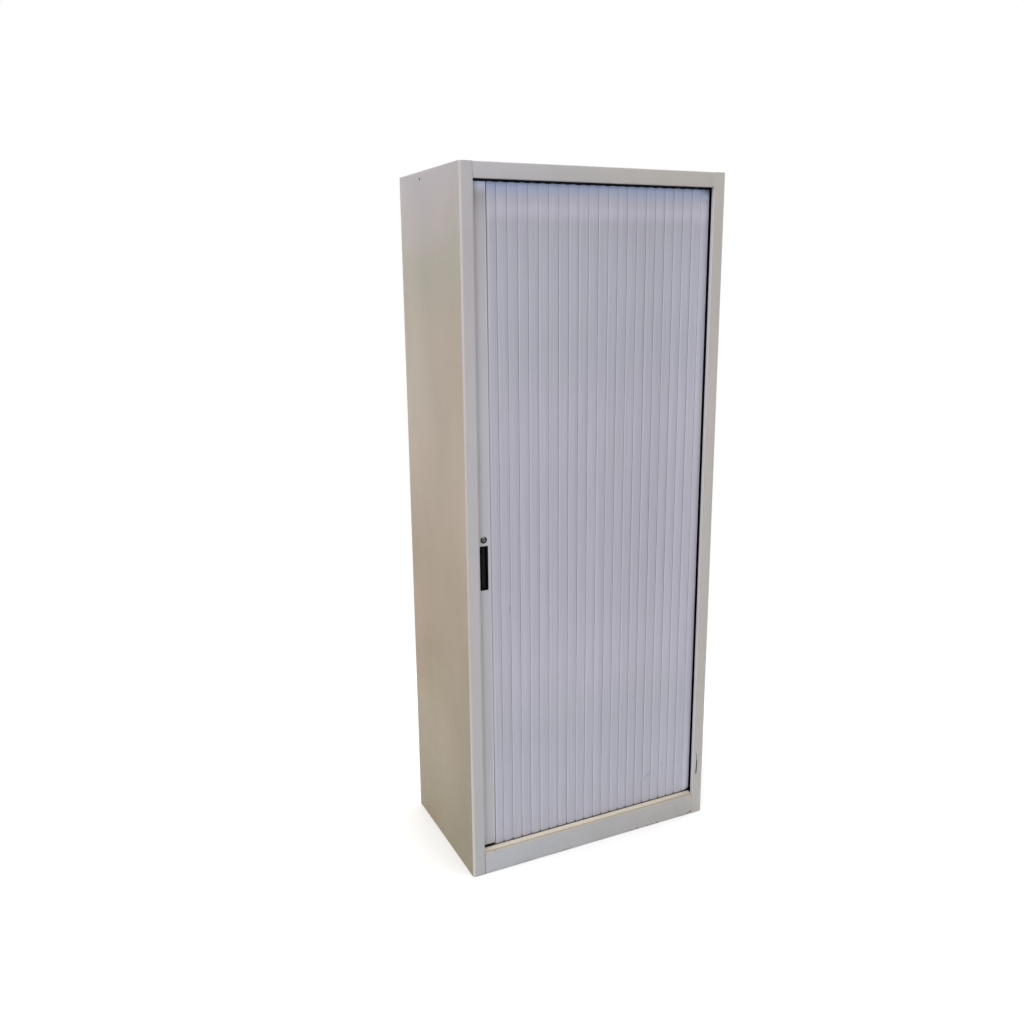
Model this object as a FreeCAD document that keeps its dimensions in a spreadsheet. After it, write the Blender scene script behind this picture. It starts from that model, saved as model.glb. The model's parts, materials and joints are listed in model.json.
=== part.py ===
"""Roll front tool cabinet: a steel cupboard closed by a curtain of upright slats.

Units are millimetres. +X runs along the front to the right, +Y to the back, +Z up.
The origin is the middle of the footprint, on the floor.

Sizes holds the driving dimensions, Places the positions worked out from them.
Every expression below names their cells by alias alone; bound() adds the sheet.
"""
import FreeCAD, Part
import math
import os
import re

import Sketcher

V = FreeCAD.Vector

SIZES = {
    # carcass
    "width": 800.0,
    "depth": 450.0,
    "height": 1970.0,
    "gauge": 1.0,            # sheet steel of every folded panel
    "bend": 5.0,             # outside radius of the upright front edges
    "jamb": 36.0,            # face of the side panel beside the opening
    "jamb_lip": 12.0,        # return behind the jamb
    "header": 40.0,          # face above the opening
    "header_lip": 12.0,
    "plinth": 68.0,          # face below the opening, and the floor's height
    "plinth_foot": 12.0,
    "rear_flange": 20.0,
    "top_flange": 14.0,
    "rivet_rise": 1.6,       # height of a rivet head behind the back panel
    "rivet_head": 4.0,       # radius
    "rivet_shank": 1.6,      # radius
    "rivet_fit": 0.1,
    "tie_hole": 3.0,         # radius of the hole that ties two cabinets together
    "tie_back": 280.0,
    "tie_drop": 19.0,
    # curtain track
    "turn_radius": 45.0,     # of the curtain's pivot line round a corner
    "groove": 7.6,
    "track_wall": 2.4,
    "track_bed": 2.4,
    "track_height": 21.5,
    "deck_fit": 0.3,         # floor and ceiling to the corner guides
    "side_play": 2.8,        # track to side panel
    "back_play": 2.2,        # track to back panel
    "liner_step": 20.0,      # pivot line of the side run to the liner's face
    "back_step": 18.0,       # pivot line of the rear run to the inner back
    "back_run": 330.0,       # straight track behind the inner back
    # slats
    "curtain_recess": 28.0,  # front of the jambs to the front of the slats
    "pivot_depth": 5.5,      # slat front to the pivot line
    "lead_in": 5.0,          # last pivot of the front run to the corner
    "slat_foot": 3.0,        # slat above the sill
    "slat_head": 5.0,        # slat below the header
    "slat_skin": 2.0,
    "slat_depth": 9.5,
    "slat_crown": 0.5,
    "joint_gap": 0.6,
    "joint_bevel": 0.8,
    "bead": 1.7,             # radius
    "bead_web": 1.0,
    "hook_fit": 0.3,
    "hook_wall": 1.0,
    "hook_mouth": 58.0,      # half the angle of the hook's mouth
    "hook_web_in": 0.6,      # web of the hook, as shares of its outer radius
    "hook_web_up": 0.8,
    "knuckle": 4.4,          # web of the bead to its pivot
    "chamber": 14.0,
    "chamber_wall": 1.2,
    "tongue_width": 14.0,
    "tongue_thick": 3.0,
    "tongue_reach": 15.0,
    "tongue_root": 10.0,
    "tongue_set": 1.0,       # tongue in front of the pivot line
    # leading stile, handle and lock
    "stile_width": 50.0,
    "stile_recess": 24.0,
    "stile_depth": 18.0,
    "stile_skin": 1.2,
    "stile_rise": 9.0,       # stile above the sill
    "shoe_plug": 14.0,
    "shoe_fit": 0.2,
    "shoe_collar": 5.0,
    "shoe_tongue": 24.0,
    "handle_height": 920.0,
    "handle_length": 125.0,
    "handle_width": 24.0,
    "handle_rim": 2.4,
    "handle_proud": 0.8,
    "handle_wall": 1.6,
    "handle_depth": 13.0,
    "handle_fit": 0.2,
    "handle_set": 21.0,      # handle and lock to the stile's first pivot
    "lock_rise": 80.0,       # lock above the handle's middle
    "lock_rim": 9.5,         # radius
    "lock_rim_thick": 1.2,
    "lock_body": 8.0,        # radius
    "lock_length": 17.0,
    "lock_fit": 0.1,
    "nut_radius": 11.5,
    "nut_thick": 3.0,
    "barrel_radius": 5.5,
    "barrel_sink": 0.5,
    "keyway_long": 7.0,
    "keyway_wide": 1.6,
    "keyway_deep": 6.0,
    "cam_back": 2.0,         # stile to cam
    "cam_thick": 3.0,
    "cam_width": 10.0,
    "cam_reach": 42.0,
    "cam_barb": 6.0,
    "screw_radius": 2.5,
    "screw_head": 5.0,
    "screw_head_thick": 2.5,
    "screw_length": 6.0,
    "strike_gap": 1.0,       # stile to strike
    "strike_plate": 2.0,
    "strike_height": 76.0,
    "strike_share": 0.66,    # of the strike below the lock's axis
    "strike_catch": 2.0,     # slot edge above the cam's arm
    "strike_drop": 44.0,     # slot below the lock's axis
    "buffer_base": 8.0,      # radius
    "buffer_nose": 5.0,      # radius
    "buffer_base_thick": 12.0,
    "buffer_gap": 0.4,
    "buffer_low": 320.0,
    "buffer_high": 1650.0,
    # inside
    "liner_front": 26.5,     # pivot line to the left liner's front
    "shelf_front": 24.0,     # pivot line to the shelf's front
    "shelf_edge": 25.0,
    "shelf_lip": 10.0,
    "shelf_fit": 0.5,
    "clip_width": 22.0,
    "clip_tab": 12.0,
    "clip_plate": 1.5,
    "clip_height": 26.0,
    "clip_lug": 2.0,
    "slot_width": 4.0,
    "slot_height": 14.0,
    "slot_fit": 0.3,
    "slot_inset": 45.0,      # slot column to the liner's front or back edge
}

FRONT_SLATS = 22             # slats wholly on the straight front run
CORNER_SLATS = 3             # slats that lie round the front right corner at rest
SHELVES = 4
SLOTS_PER_BAY = 6            # slots of a liner between two shelves
SIDE_RIVETS = 7
END_RIVETS = 3

PLACES = {
    "side_x": "width / 2",
    "wall_x": "side_x - gauge",
    "front_y": "-depth / 2",
    "back_face": "depth / 2 - rivet_rise",
    "back_y": "back_face - gauge",
    "flange_y": "back_y - gauge",
    "half_track": "groove / 2 + track_wall",
    "pivot_y": "front_y + curtain_recess + pivot_depth",
    "run_x": "wall_x - side_play - half_track",
    "rear_y": "back_y - back_play - half_track",
    "corner_x": "run_x - turn_radius",
    "front_corner_y": "pivot_y + turn_radius",
    "rear_corner_y": "rear_y - turn_radius",
    "liner_x": "run_x - liner_step",
    "liner_out": "liner_x + gauge",
    "inner_back_y": "rear_y - back_step - gauge",
    "inner_back_out": "rear_y - back_step",
    "slat_low": "plinth + slat_foot",
    "slat_high": "height - header - slat_head",
    "bed_low": "slat_low - slat_foot / 2 - track_height",
    "mirror_z": "slat_low + slat_high",
    "bed_high": "mirror_z - bed_low",
    "ceiling": "mirror_z - plinth",
    "opening_x": "side_x - jamb",
    "first_pivot": "-liner_x + stile_width",
    "pitch": f"(corner_x - lead_in - first_pivot) / {FRONT_SLATS}",
    "handle_x": "first_pivot - handle_set",
    "lock_height": "handle_height + lock_rise",
    "stile_front": "-pivot_depth - curtain_recess + stile_recess",
    "stile_back": "stile_front + stile_depth",
    "stile_low": "plinth + stile_rise",
    "hook_in": "bead + hook_fit",
    "hook_out": "hook_in + hook_wall",
    "bead_root": "sqrt(bead ^ 2 - bead_web ^ 2 / 4)",
    "skin_back": "slat_skin - pivot_depth",
    "chamber_back": "slat_depth - pivot_depth",
    "cam_front": "pivot_y + stile_back + cam_back",
    "lock_front": "pivot_y + stile_front",
    "strike_x": "-liner_x - strike_gap",
    "bay": f"(ceiling - plinth) / {SHELVES + 1}",
    "slot_step": f"bay / {SLOTS_PER_BAY}",
    "turn_reach": "2 * turn_radius ^ 2",
    "turn_swing": "2 * lead_in * turn_radius",
    "turn_span": "hypot(turn_swing; turn_reach)",
    "turn_lean": "asin((pitch ^ 2 - lead_in ^ 2 - turn_reach) / turn_span)",
    "turn_entry": "atan2(turn_reach; turn_swing) + turn_lean",
    "turn_chord": "2 * asin(pitch / (2 * turn_radius))",
    "clip_seat": "slot_height / 2 + clip_plate + gauge",
    "shelf_y": "pivot_y + shelf_front",
    "liner_y": "pivot_y + liner_front",
}

doc = FreeCAD.newDocument("RollFrontCabinet")
sizes = doc.addObject("Spreadsheet::Sheet", "Sizes")
places = doc.addObject("Spreadsheet::Sheet", "Places")
CELLS = {}


def bound(text):
    """Write out an expression with each alias under its own sheet."""
    return re.sub(r"[a-z][a-z_]*", lambda word: CELLS.get(word.group(), word.group()), text)


def fill_sheets():
    """Enter the driving dimensions and the places worked out from them."""
    for row, (alias, value) in enumerate(SIZES.items(), start=1):
        sizes.set(f"A{row}", alias.replace("_", " "))
        sizes.set(f"B{row}", str(value))
        sizes.setAlias(f"B{row}", alias)
        CELLS[alias] = f"Sizes.{alias}"
    for row, (alias, formula) in enumerate(PLACES.items(), start=1):
        places.set(f"A{row}", alias.replace("_", " "))
        places.set(f"B{row}", "=" + bound(formula))
        places.setAlias(f"B{row}", alias)
        CELLS[alias] = f"Places.{alias}"
    doc.recompute()


fill_sheets()


def number(text):
    """Value of an expression at the present sizes."""
    value = sizes.evalExpression(bound(text))
    return float(getattr(value, "Value", value))


def bind(thing, prop, text):
    """Tie a property of an object to an expression."""
    thing.setExpression(prop, bound(text))


# ---------------------------------------------------------------- sketched bodies

def new_body(label):
    """Empty body under a label."""
    body = doc.addObject("PartDesign::Body", "Body_" + label)
    body.Label = label
    return body


def new_sketch(body, plane, offset):
    """Sketch on one of the body's origin planes, moved along the plane's normal."""
    support = next(item for item in body.Origin.OriginFeatures if item.Role == f"{plane}_Plane")
    sketch = body.newObject("Sketcher::SketchObject", body.Name + "_sketch")
    sketch.AttachmentSupport = [(support, "")]
    sketch.MapMode = "FlatFace"
    bind(sketch, "AttachmentOffset.Base.z", offset)
    return sketch


def dimension(sketch, kind, points, text):
    """Add one dimension whose value is an expression."""
    index = sketch.addConstraint(Sketcher.Constraint(kind, *points, number(text)))
    bind(sketch, f"Constraints[{index}]", text)


def arc_between(start, end, radius, side):
    """Arc from start to end, bulging left or right of the way it runs.

    Returns the arc and which of its points are the start and the end.
    """
    a, b = V(*start), V(*end)
    chord = b - a
    rise = math.sqrt(max(radius ** 2 - chord.Length ** 2 / 4, 0.0))
    normal = V(-chord.y, chord.x) / chord.Length
    middle = (a + b) / 2
    centre = middle - normal * rise if side.startswith("left") else middle + normal * rise
    if side.endswith("_long"):
        centre = middle * 2 - centre
    first = math.atan2(a.y - centre.y, a.x - centre.x)
    last = math.atan2(b.y - centre.y, b.x - centre.x)
    circle = Part.Circle(centre, V(0, 0, 1), radius)
    if side.startswith("left"):
        return Part.ArcOfCircle(circle, last, first), 2, 1
    return Part.ArcOfCircle(circle, first, last), 1, 2


def draw_loop(sketch, corners):
    """Closed outline through corners (x, y), or (x, y, radius, side) where an arc leaves.

    side says which way the arc bulges from the line to the next corner: left or right,
    with _long where it is more than half a circle.
    """
    spots = [(number(corner[0]), number(corner[1])) for corner in corners]
    ends = []
    for index, corner in enumerate(corners):
        start, end = spots[index], spots[(index + 1) % len(spots)]
        if len(corner) == 2:
            line = Part.LineSegment(V(*start), V(*end))
            ends.append((sketch.addGeometry(line, False), 1, 2))
        else:
            arc, first, last = arc_between(start, end, number(corner[2]), corner[3])
            ends.append((sketch.addGeometry(arc, False), first, last))
    for index, corner in enumerate(corners):
        edge, first, last = ends[index]
        following = ends[(index + 1) % len(ends)]
        joined = Sketcher.Constraint("Coincident", edge, last, following[0], following[1])
        sketch.addConstraint(joined)
        dimension(sketch, "DistanceX", (edge, first), corner[0])
        dimension(sketch, "DistanceY", (edge, first), corner[1])
        if len(corner) > 2:
            dimension(sketch, "Radius", (edge,), corner[2])


def pad(body, loops, low, high, plane="XY"):
    """Pad outlines of the body from low to high along the plane's normal."""
    sketch = new_sketch(body, plane, low)
    for corners in loops:
        draw_loop(sketch, corners)
    solid = body.newObject("PartDesign::Pad", body.Name + "_pad")
    solid.Profile = sketch
    bind(solid, "Length", f"({high}) - ({low})")
    sketch.Visibility = False
    return body


def rectangle(left, right, near, far):
    """Corners of a rectangle."""
    return [(left, near), (right, near), (right, far), (left, far)]


def block(body, across, along, up):
    """Pad a plain block between the limits across X, along Y and up Z."""
    return pad(body, [rectangle(*across, *along)], *up)


def profile_x(body, corners, left, right):
    """Pad a cross-section of (y, z) corners from left to right."""
    return pad(body, [corners], left, right, plane="YZ")


def place(thing, across="0", along="0", up="0"):
    """Tie the object's position to expressions."""
    bind(thing, "Placement.Base.x", across)
    bind(thing, "Placement.Base.y", along)
    bind(thing, "Placement.Base.z", up)
    return thing


# ---------------------------------------------------------------- primitives and booleans

AXES = {
    "X": FreeCAD.Rotation(V(0, 1, 0), 90),
    "Y": FreeCAD.Rotation(V(1, 0, 0), -90),
    "Z": FreeCAD.Rotation(),
}


def rod(name, axis, radius, length, spot):
    """Cylinder from spot along +axis."""
    thing = doc.addObject("Part::Cylinder", name)
    thing.Placement = FreeCAD.Placement(V(), AXES[axis])
    bind(thing, "Radius", radius)
    bind(thing, "Height", length)
    return place(thing, *spot)


def brick(name, across, along, up):
    """Box between the limits across X, along Y and up Z."""
    thing = doc.addObject("Part::Box", name)
    for prop, (low, high) in zip(("Length", "Width", "Height"), (across, along, up)):
        bind(thing, prop, f"({high}) - ({low})")
    return place(thing, across[0], along[0], up[0])


def together(kind, label, members):
    """Fusion or compound of several objects."""
    thing = doc.addObject(kind, "Group_" + label)
    thing.Label = label
    setattr(thing, "Shapes" if kind == "Part::MultiFuse" else "Links", members)
    return thing


def cut(label, base, tools):
    """Base less all its tools."""
    taken = tools[0] if len(tools) == 1 else together("Part::Compound", label + "_cuts", tools)
    thing = doc.addObject("Part::Cut", "Cut_" + label)
    thing.Label = label
    thing.Base = base
    thing.Tool = taken
    return thing


PARTS = []


def keep(thing):
    """List a finished sub-part."""
    PARTS.append(thing)
    return thing


# ---------------------------------------------------------------- carcass

def rivet_spots():
    """(x, z) of each rivet of the back panel."""
    spots = []
    for side in ("-", ""):
        for step in range(SIDE_RIVETS):
            share = step / (SIDE_RIVETS - 1)
            spots.append((f"{side}(side_x - rear_flange / 2)",
                          f"plinth + (height - 2 * plinth) * {share}"))
    for step in range(END_RIVETS):
        across = f"side_x * {(step - (END_RIVETS - 1) / 2) / END_RIVETS * 2}"
        spots.append((across, "bed_low / 2"))
        spots.append((across, "height - gauge - top_flange / 2"))
    return spots


def rivet_holes(name, near, far, chosen):
    """Drills through a flange at the chosen rivets."""
    return [rod(f"{name}_hole", "Y", "rivet_shank + rivet_fit", f"({far}) - ({near})",
                (x, near, z)) for x, z in chosen]


def side_panel(label, sign):
    """Folded side: jamb with its return at the front, flange at the back."""
    def at(inward):
        return f"{sign}(side_x - ({inward}))"
    bulge = ("right", "left") if sign == "-" else ("left", "right")
    outline = [
        (at("jamb"), "front_y + jamb_lip"),
        (at("jamb"), "front_y"),
        (at("bend"), "front_y", "bend", bulge[1]),
        (at("0"), "front_y + bend"),
        (at("0"), "back_y"),
        (at("rear_flange"), "back_y"),
        (at("rear_flange"), "flange_y"),
        (at("gauge"), "flange_y"),
        (at("gauge"), "front_y + bend", "bend - gauge", bulge[0]),
        (at("bend"), "front_y + gauge"),
        (at("jamb - gauge"), "front_y + gauge"),
        (at("jamb - gauge"), "front_y + jamb_lip"),
    ]
    blank = pad(new_body(label + "_blank"), [outline], "0", "height")
    own = [spot for spot in rivet_spots() if spot[0] == f"{sign}(side_x - rear_flange / 2)"]
    holes = rivet_holes(label, "flange_y - gauge", "back_y + gauge", own)
    start = "-side_x - gauge" if sign == "-" else "wall_x - gauge"
    holes.append(rod(label + "_tie", "X", "tie_hole", "3 * gauge",
                     (start, "front_y + tie_back", "height - tie_drop")))
    keep(cut(label, blank, holes))


def top_panel():
    """Top tray whose front flange is the header."""
    section = [
        ("front_y", "height"),
        ("front_y", "height - header"),
        ("front_y + header_lip", "height - header"),
        ("front_y + header_lip", "height - header + gauge"),
        ("front_y + gauge", "height - header + gauge"),
        ("front_y + gauge", "height - gauge"),
        ("flange_y", "height - gauge"),
        ("flange_y", "height - gauge - top_flange"),
        ("back_y", "height - gauge - top_flange"),
        ("back_y", "height"),
    ]
    body = profile_x(new_body("top_panel_blank"), section, "-opening_x", "opening_x")
    top = ("height - gauge", "height")
    hem = ("height - gauge - top_flange", "height - gauge")
    rows = [
        ("opening_x", "wall_x", "front_y + jamb_lip", "flange_y", top),
        ("opening_x + gauge", "wall_x", "front_y + bend", "front_y + jamb_lip", top),
        ("opening_x + gauge", "side_x - bend", "front_y + gauge", "front_y + bend", top),
        ("wall_x - gauge", "wall_x", "front_y + bend", "flange_y", hem),
    ]
    for near, far, front, rear, rise in rows:
        block(body, (f"-({far})", f"-({near})"), (front, rear), rise)
        block(body, (near, far), (front, rear), rise)
    upper = [spot for spot in rivet_spots() if spot[1].startswith("height - gauge")]
    holes = rivet_holes("top", "flange_y - gauge", "back_y + gauge", upper)
    keep(cut("top_panel", body, holes))


def front_plinth():
    """Plinth face, the sill over it and the flange that holds the track."""
    sill_back = "pivot_y - half_track"
    section = [
        ("front_y", "0"),
        ("front_y", "plinth"),
        (sill_back, "plinth"),
        (sill_back, "bed_low"),
        (f"{sill_back} - gauge", "bed_low"),
        (f"{sill_back} - gauge", "plinth - gauge"),
        ("front_y + gauge", "plinth - gauge"),
        ("front_y + gauge", "gauge"),
        ("front_y + plinth_foot", "gauge"),
        ("front_y + plinth_foot", "0"),
    ]
    keep(profile_x(new_body("front_plinth"), section, "-opening_x", "opening_x"))


def rear_plinth():
    """Channel under the inner back and the rear track."""
    section = [
        ("inner_back_y", "bed_low"),
        ("back_y", "bed_low"),
        ("back_y", "0"),
        ("inner_back_y", "0"),
        ("inner_back_y", "gauge"),
        ("flange_y", "gauge"),
        ("flange_y", "bed_low - gauge"),
        ("inner_back_y", "bed_low - gauge"),
    ]
    end = "side_x - rear_flange"
    body = profile_x(new_body("rear_plinth_blank"), section, f"-({end})", end)
    lower = [spot for spot in rivet_spots() if spot[1] == "bed_low / 2"]
    holes = rivet_holes("foot", "flange_y - gauge", "back_y + gauge", lower)
    keep(cut("rear_plinth", body, holes))


def back_panel():
    """Plain back, riveted to the flanges of the sides, top and rear plinth."""
    body = block(new_body("back_panel_blank"), ("-wall_x", "wall_x"), ("back_y", "back_face"),
                 ("gauge", "height - gauge"))
    holes = rivet_holes("back", "back_y - gauge", "back_face + gauge", rivet_spots())
    keep(cut("back_panel", body, holes))
    rivets = []
    for x, z in rivet_spots():
        head = rod("rivet_head", "Y", "rivet_head", "rivet_rise", (x, "back_face", z))
        shank = rod("rivet_shank", "Y", "rivet_shank", "2 * gauge", (x, "back_y - gauge", z))
        rivets.append(together("Part::MultiFuse", "rivet", [head, shank]))
    keep(together("Part::Compound", "back_panel_rivets", rivets))


def deck(label, upper):
    """Floor or ceiling between the liners, cut back round the corner guide."""
    def up(low, high):
        return (f"mirror_z - ({high})", f"mirror_z - ({low})") if upper else (low, high)
    front = "pivot_y + half_track"
    inside = "turn_radius - half_track - deck_fit"
    shoulder = f"front_corner_y - sqrt(({inside}) ^ 2 - (liner_x - corner_x) ^ 2)"
    outline = [
        ("-liner_x", front),
        ("corner_x", front),
        ("corner_x", f"front_corner_y - ({inside})", inside, "right"),
        ("liner_x", shoulder),
        ("liner_x", "inner_back_y"),
        ("-liner_x", "inner_back_y"),
    ]
    body = pad(new_body(label), [outline], *up("plinth - gauge", "plinth"))
    skirt = up("bed_low", "plinth - gauge")
    block(body, ("-liner_x", "corner_x"), (front, f"{front} + gauge"), skirt)
    block(body, ("-liner_x", "liner_x"), ("inner_back_y - gauge", "inner_back_y"), skirt)
    keep(body)


# ---------------------------------------------------------------- curtain tracks

def track_rows(upper):
    """Heights of a track's bed and walls."""
    bed = ("bed_low", "bed_low + track_bed")
    wall = ("bed_low", "bed_low + track_height")
    if upper:
        bed = tuple(f"mirror_z - ({edge})" for edge in reversed(bed))
        wall = tuple(f"mirror_z - ({edge})" for edge in reversed(wall))
    return bed, wall


def straight_track(label, upper, along_x, path, span, bed_limits):
    """Channel about the pivot line, with a bed that reaches what carries it."""
    bed, wall = track_rows(upper)
    walls = [(f"{path} - half_track", f"{path} - groove / 2"),
             (f"{path} + groove / 2", f"{path} + half_track")]
    body = new_body(label)
    for limits, rise in [(bed_limits, bed)] + [(limits, wall) for limits in walls]:
        across, along = (span, limits) if along_x else (limits, span)
        block(body, across, along, rise)
    keep(body)


def corner_guide(name, upper, rear):
    """Moulded quarter turn of the track at a right-hand corner."""
    bed, wall = track_rows(upper)
    centre = "rear_corner_y" if rear else "front_corner_y"
    out = "+" if rear else "-"
    edge = "flange_y" if rear else "pivot_y - half_track"
    inner, outer = "turn_radius - half_track", "turn_radius + half_track"
    groove_in, groove_out = "turn_radius - groove / 2", "turn_radius + groove / 2"
    turn = ("left", "right") if rear else ("right", "left")

    def quarter(small, large):
        return [
            (f"corner_x + {small}", centre, small, turn[1]),
            ("corner_x", f"{centre} {out} ({small})"),
            ("corner_x", f"{centre} {out} ({large})", large, turn[0]),
            (f"corner_x + {large}", centre),
        ]

    base = [
        (f"corner_x + {inner}", centre, inner, turn[1]),
        ("corner_x", f"{centre} {out} ({inner})"),
        ("corner_x", edge),
        ("wall_x", edge),
        ("wall_x", centre),
    ]
    body = new_body(name)
    pad(body, [base], *bed)
    pad(body, [quarter(inner, groove_in)], *wall)
    pad(body, [quarter(groove_out, outer)], *wall)
    return body


def tracks():
    """Lower and upper track: front, side and back runs with the two corner guides."""
    for level, upper in (("lower", False), ("upper", True)):
        straight_track(f"{level}_front_track", upper, True, "pivot_y",
                       ("-opening_x", "corner_x"),
                       ("pivot_y - half_track", "pivot_y + half_track"))
        straight_track(f"{level}_side_track", upper, False, "run_x",
                       ("front_corner_y", "rear_corner_y"),
                       ("liner_out", "wall_x"))
        straight_track(f"{level}_back_track", upper, True, "rear_y",
                       ("corner_x - back_run", "corner_x"),
                       ("inner_back_out", "back_y"))
        guides = [corner_guide(f"{level}_guide_front", upper, False),
                  corner_guide(f"{level}_guide_rear", upper, True)]
        keep(together("Part::Compound", f"{level}_corner_guides", guides))


# ---------------------------------------------------------------- inside

def slot_columns(front):
    """Positions of a liner's two columns of slots, from front to back."""
    return [f"{front} + slot_inset", "inner_back_y - slot_inset"]


def on_side(sign, near, far):
    """Limits across X on the left side of the cabinet (sign "-") or on its right."""
    return (f"-({far})", f"-({near})") if sign == "-" else (near, far)


def liner(label, sign, front):
    """Inner side wall, slotted for the shelf clips."""
    tall = ("bed_low", "bed_high")
    blank = new_body(label + "_blank")
    block(blank, on_side(sign, "liner_x", "liner_out"), (front, "inner_back_y"), tall)
    if sign == "-":
        block(blank, on_side(sign, "liner_out", "wall_x"), (front, f"{front} + gauge"), tall)
    tools = []
    for y in slot_columns(front):
        for step in range(1, (SHELVES + 1) * SLOTS_PER_BAY):
            centre = f"plinth + slot_step * {step} - clip_seat"
            slot = brick("slot", on_side(sign, "liner_x - gauge", "liner_out + gauge"),
                         (f"{y} - slot_width / 2", f"{y} + slot_width / 2"),
                         (f"{centre} - slot_height / 2", f"{centre} + slot_height / 2"))
            tools.append(slot)
    keep(cut(label, blank, tools))


def shelf(level):
    """Folded shelf with a deep front edge; level 1 is the lowest."""
    top = f"plinth + bay * {level}"
    section = [
        ("shelf_y", top),
        ("shelf_y", f"{top} - shelf_edge"),
        ("shelf_y + shelf_lip", f"{top} - shelf_edge"),
        ("shelf_y + shelf_lip", f"{top} - shelf_edge + gauge"),
        ("shelf_y + gauge", f"{top} - shelf_edge + gauge"),
        ("shelf_y + gauge", f"{top} - gauge"),
        ("inner_back_y - shelf_fit - gauge", f"{top} - gauge"),
        ("inner_back_y - shelf_fit - gauge", f"{top} - shelf_edge"),
        ("inner_back_y - shelf_fit", f"{top} - shelf_edge"),
        ("inner_back_y - shelf_fit", top),
    ]
    end = "liner_x - shelf_fit"
    keep(profile_x(new_body(f"shelf_{level}"), section, f"-({end})", end))


def shelf_clips():
    """Four angle clips under each shelf, each with a lug through its slot."""
    clips = []
    for level in range(1, SHELVES + 1):
        seat = f"plinth + bay * {level} - gauge"
        centre = f"plinth + bay * {level} - clip_seat"
        hook = (f"{centre} - slot_height / 2 + slot_fit", f"{centre} + slot_height / 2 - slot_fit")
        for sign, front in (("-", "liner_y"), ("", "front_corner_y")):
            wall = on_side(sign, "liner_x - clip_plate", "liner_x")
            tab = on_side(sign, "liner_x - clip_tab", "liner_x")
            through = on_side(sign, "liner_x - clip_plate", "liner_out + clip_lug")
            for y in slot_columns(front):
                clip = new_body("clip")
                length = (f"{y} - clip_width / 2", f"{y} + clip_width / 2")
                lug = (f"{y} - slot_width / 2 + slot_fit", f"{y} + slot_width / 2 - slot_fit")
                block(clip, wall, length, (f"{seat} - clip_height", seat))
                block(clip, tab, length, (f"{seat} - clip_plate", seat))
                block(clip, through, lug, hook)
                clips.append(clip)
    keep(together("Part::Compound", "shelf_clips", clips))


# ---------------------------------------------------------------- curtain

def bead_corners(pivot):
    """Bead of a hinge and the web to it, from the front of the web to its back."""
    return [
        (f"{pivot} - bead_root", "-bead_web / 2", "bead", "right_long"),
        (f"{pivot} - bead_root", "bead_web / 2"),
    ]


def slat_section():
    """Slat about its left pivot: skin, bead at the right, hook at the left, chamber."""
    front, gap = "-pivot_depth", "joint_gap / 2"
    mouth_x, mouth_y = "cos(hook_mouth)", "sin(hook_mouth)"
    web = "hook_out * hook_web_in"
    crown_radius = "(pitch ^ 2 / 4 + slat_crown ^ 2) / (2 * slat_crown)"
    left, right = "pitch / 2 - chamber / 2", "pitch / 2 + chamber / 2"
    outline = [
        (gap, f"{front} + joint_bevel"),
        (f"{gap} + joint_bevel", front, crown_radius, "right"),
        (f"pitch - {gap} - joint_bevel", front),
        (f"pitch - {gap}", f"{front} + joint_bevel"),
        (f"pitch - {gap}", "skin_back"),
        ("pitch - knuckle", "skin_back"),
        ("pitch - knuckle", "-bead_web / 2"),
        *bead_corners("pitch"),
        ("pitch - knuckle - bead_web", "bead_web / 2"),
        ("pitch - knuckle - bead_web", "skin_back"),
        (right, "skin_back"),
        (right, "chamber_back"),
        (left, "chamber_back"),
        (left, "skin_back"),
        ("hook_out", "skin_back"),
        ("hook_out", "0", "hook_out", "right"),
        (f"-hook_out * {mouth_x}", f"hook_out * {mouth_y}"),
        (f"-hook_in * {mouth_x}", f"hook_in * {mouth_y}", "hook_in", "left_long"),
        (f"-hook_in * {mouth_x}", f"-hook_in * {mouth_y}"),
        (f"-hook_out * {mouth_x}", f"-hook_out * {mouth_y}", "hook_out", "right"),
        (web, "-hook_out * hook_web_up"),
        (web, "skin_back"),
        (gap, "skin_back"),
    ]
    hollow = rectangle(f"{left} + chamber_wall", f"{right} - chamber_wall",
                       "skin_back", "chamber_back - chamber_wall")
    return [outline, hollow]


def slat(label, across, along, turned):
    """One slat, hung on its left pivot and turned to follow the track."""
    body = pad(new_body(label), slat_section(), "slat_low", "slat_high")
    width = ("pitch / 2 - tongue_width / 2", "pitch / 2 + tongue_width / 2")
    thick = ("-tongue_set - tongue_thick / 2", "-tongue_set + tongue_thick / 2")
    block(body, width, thick, ("slat_low - tongue_reach", "slat_low + tongue_root"))
    block(body, width, thick, ("slat_high - tongue_root", "slat_high + tongue_reach"))
    body.Placement = FreeCAD.Placement(V(), FreeCAD.Rotation(V(0, 0, 1), 1))
    bind(body, "Placement.Rotation.Angle", turned)
    place(body, across, along)
    keep(body)


def curtain():
    """Slats along the front, then round the corner by chords of the turn."""
    for step in range(FRONT_SLATS):
        slat(f"slat_{step + 1:02d}", f"first_pivot + pitch * {step}", "pivot_y", "0")
    pivots = [("-lead_in", "0")]
    for step in range(CORNER_SLATS - 1):
        angle = f"turn_entry + turn_chord * {step}"
        pivots.append((f"turn_radius * sin({angle})", f"turn_radius * (1 - cos({angle}))"))
    x, y = pivots[-1]
    pivots.append(("turn_radius", f"{y} + sqrt(pitch ^ 2 - (turn_radius - {x}) ^ 2)"))
    for step in range(CORNER_SLATS):
        (x, y), (ahead_x, ahead_y) = pivots[step], pivots[step + 1]
        turned = f"atan2({ahead_y} - ({y}); {ahead_x} - ({x}))"
        label = f"slat_{FRONT_SLATS + step + 1:02d}"
        slat(label, f"corner_x + ({x})", f"pivot_y + ({y})", turned)


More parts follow.
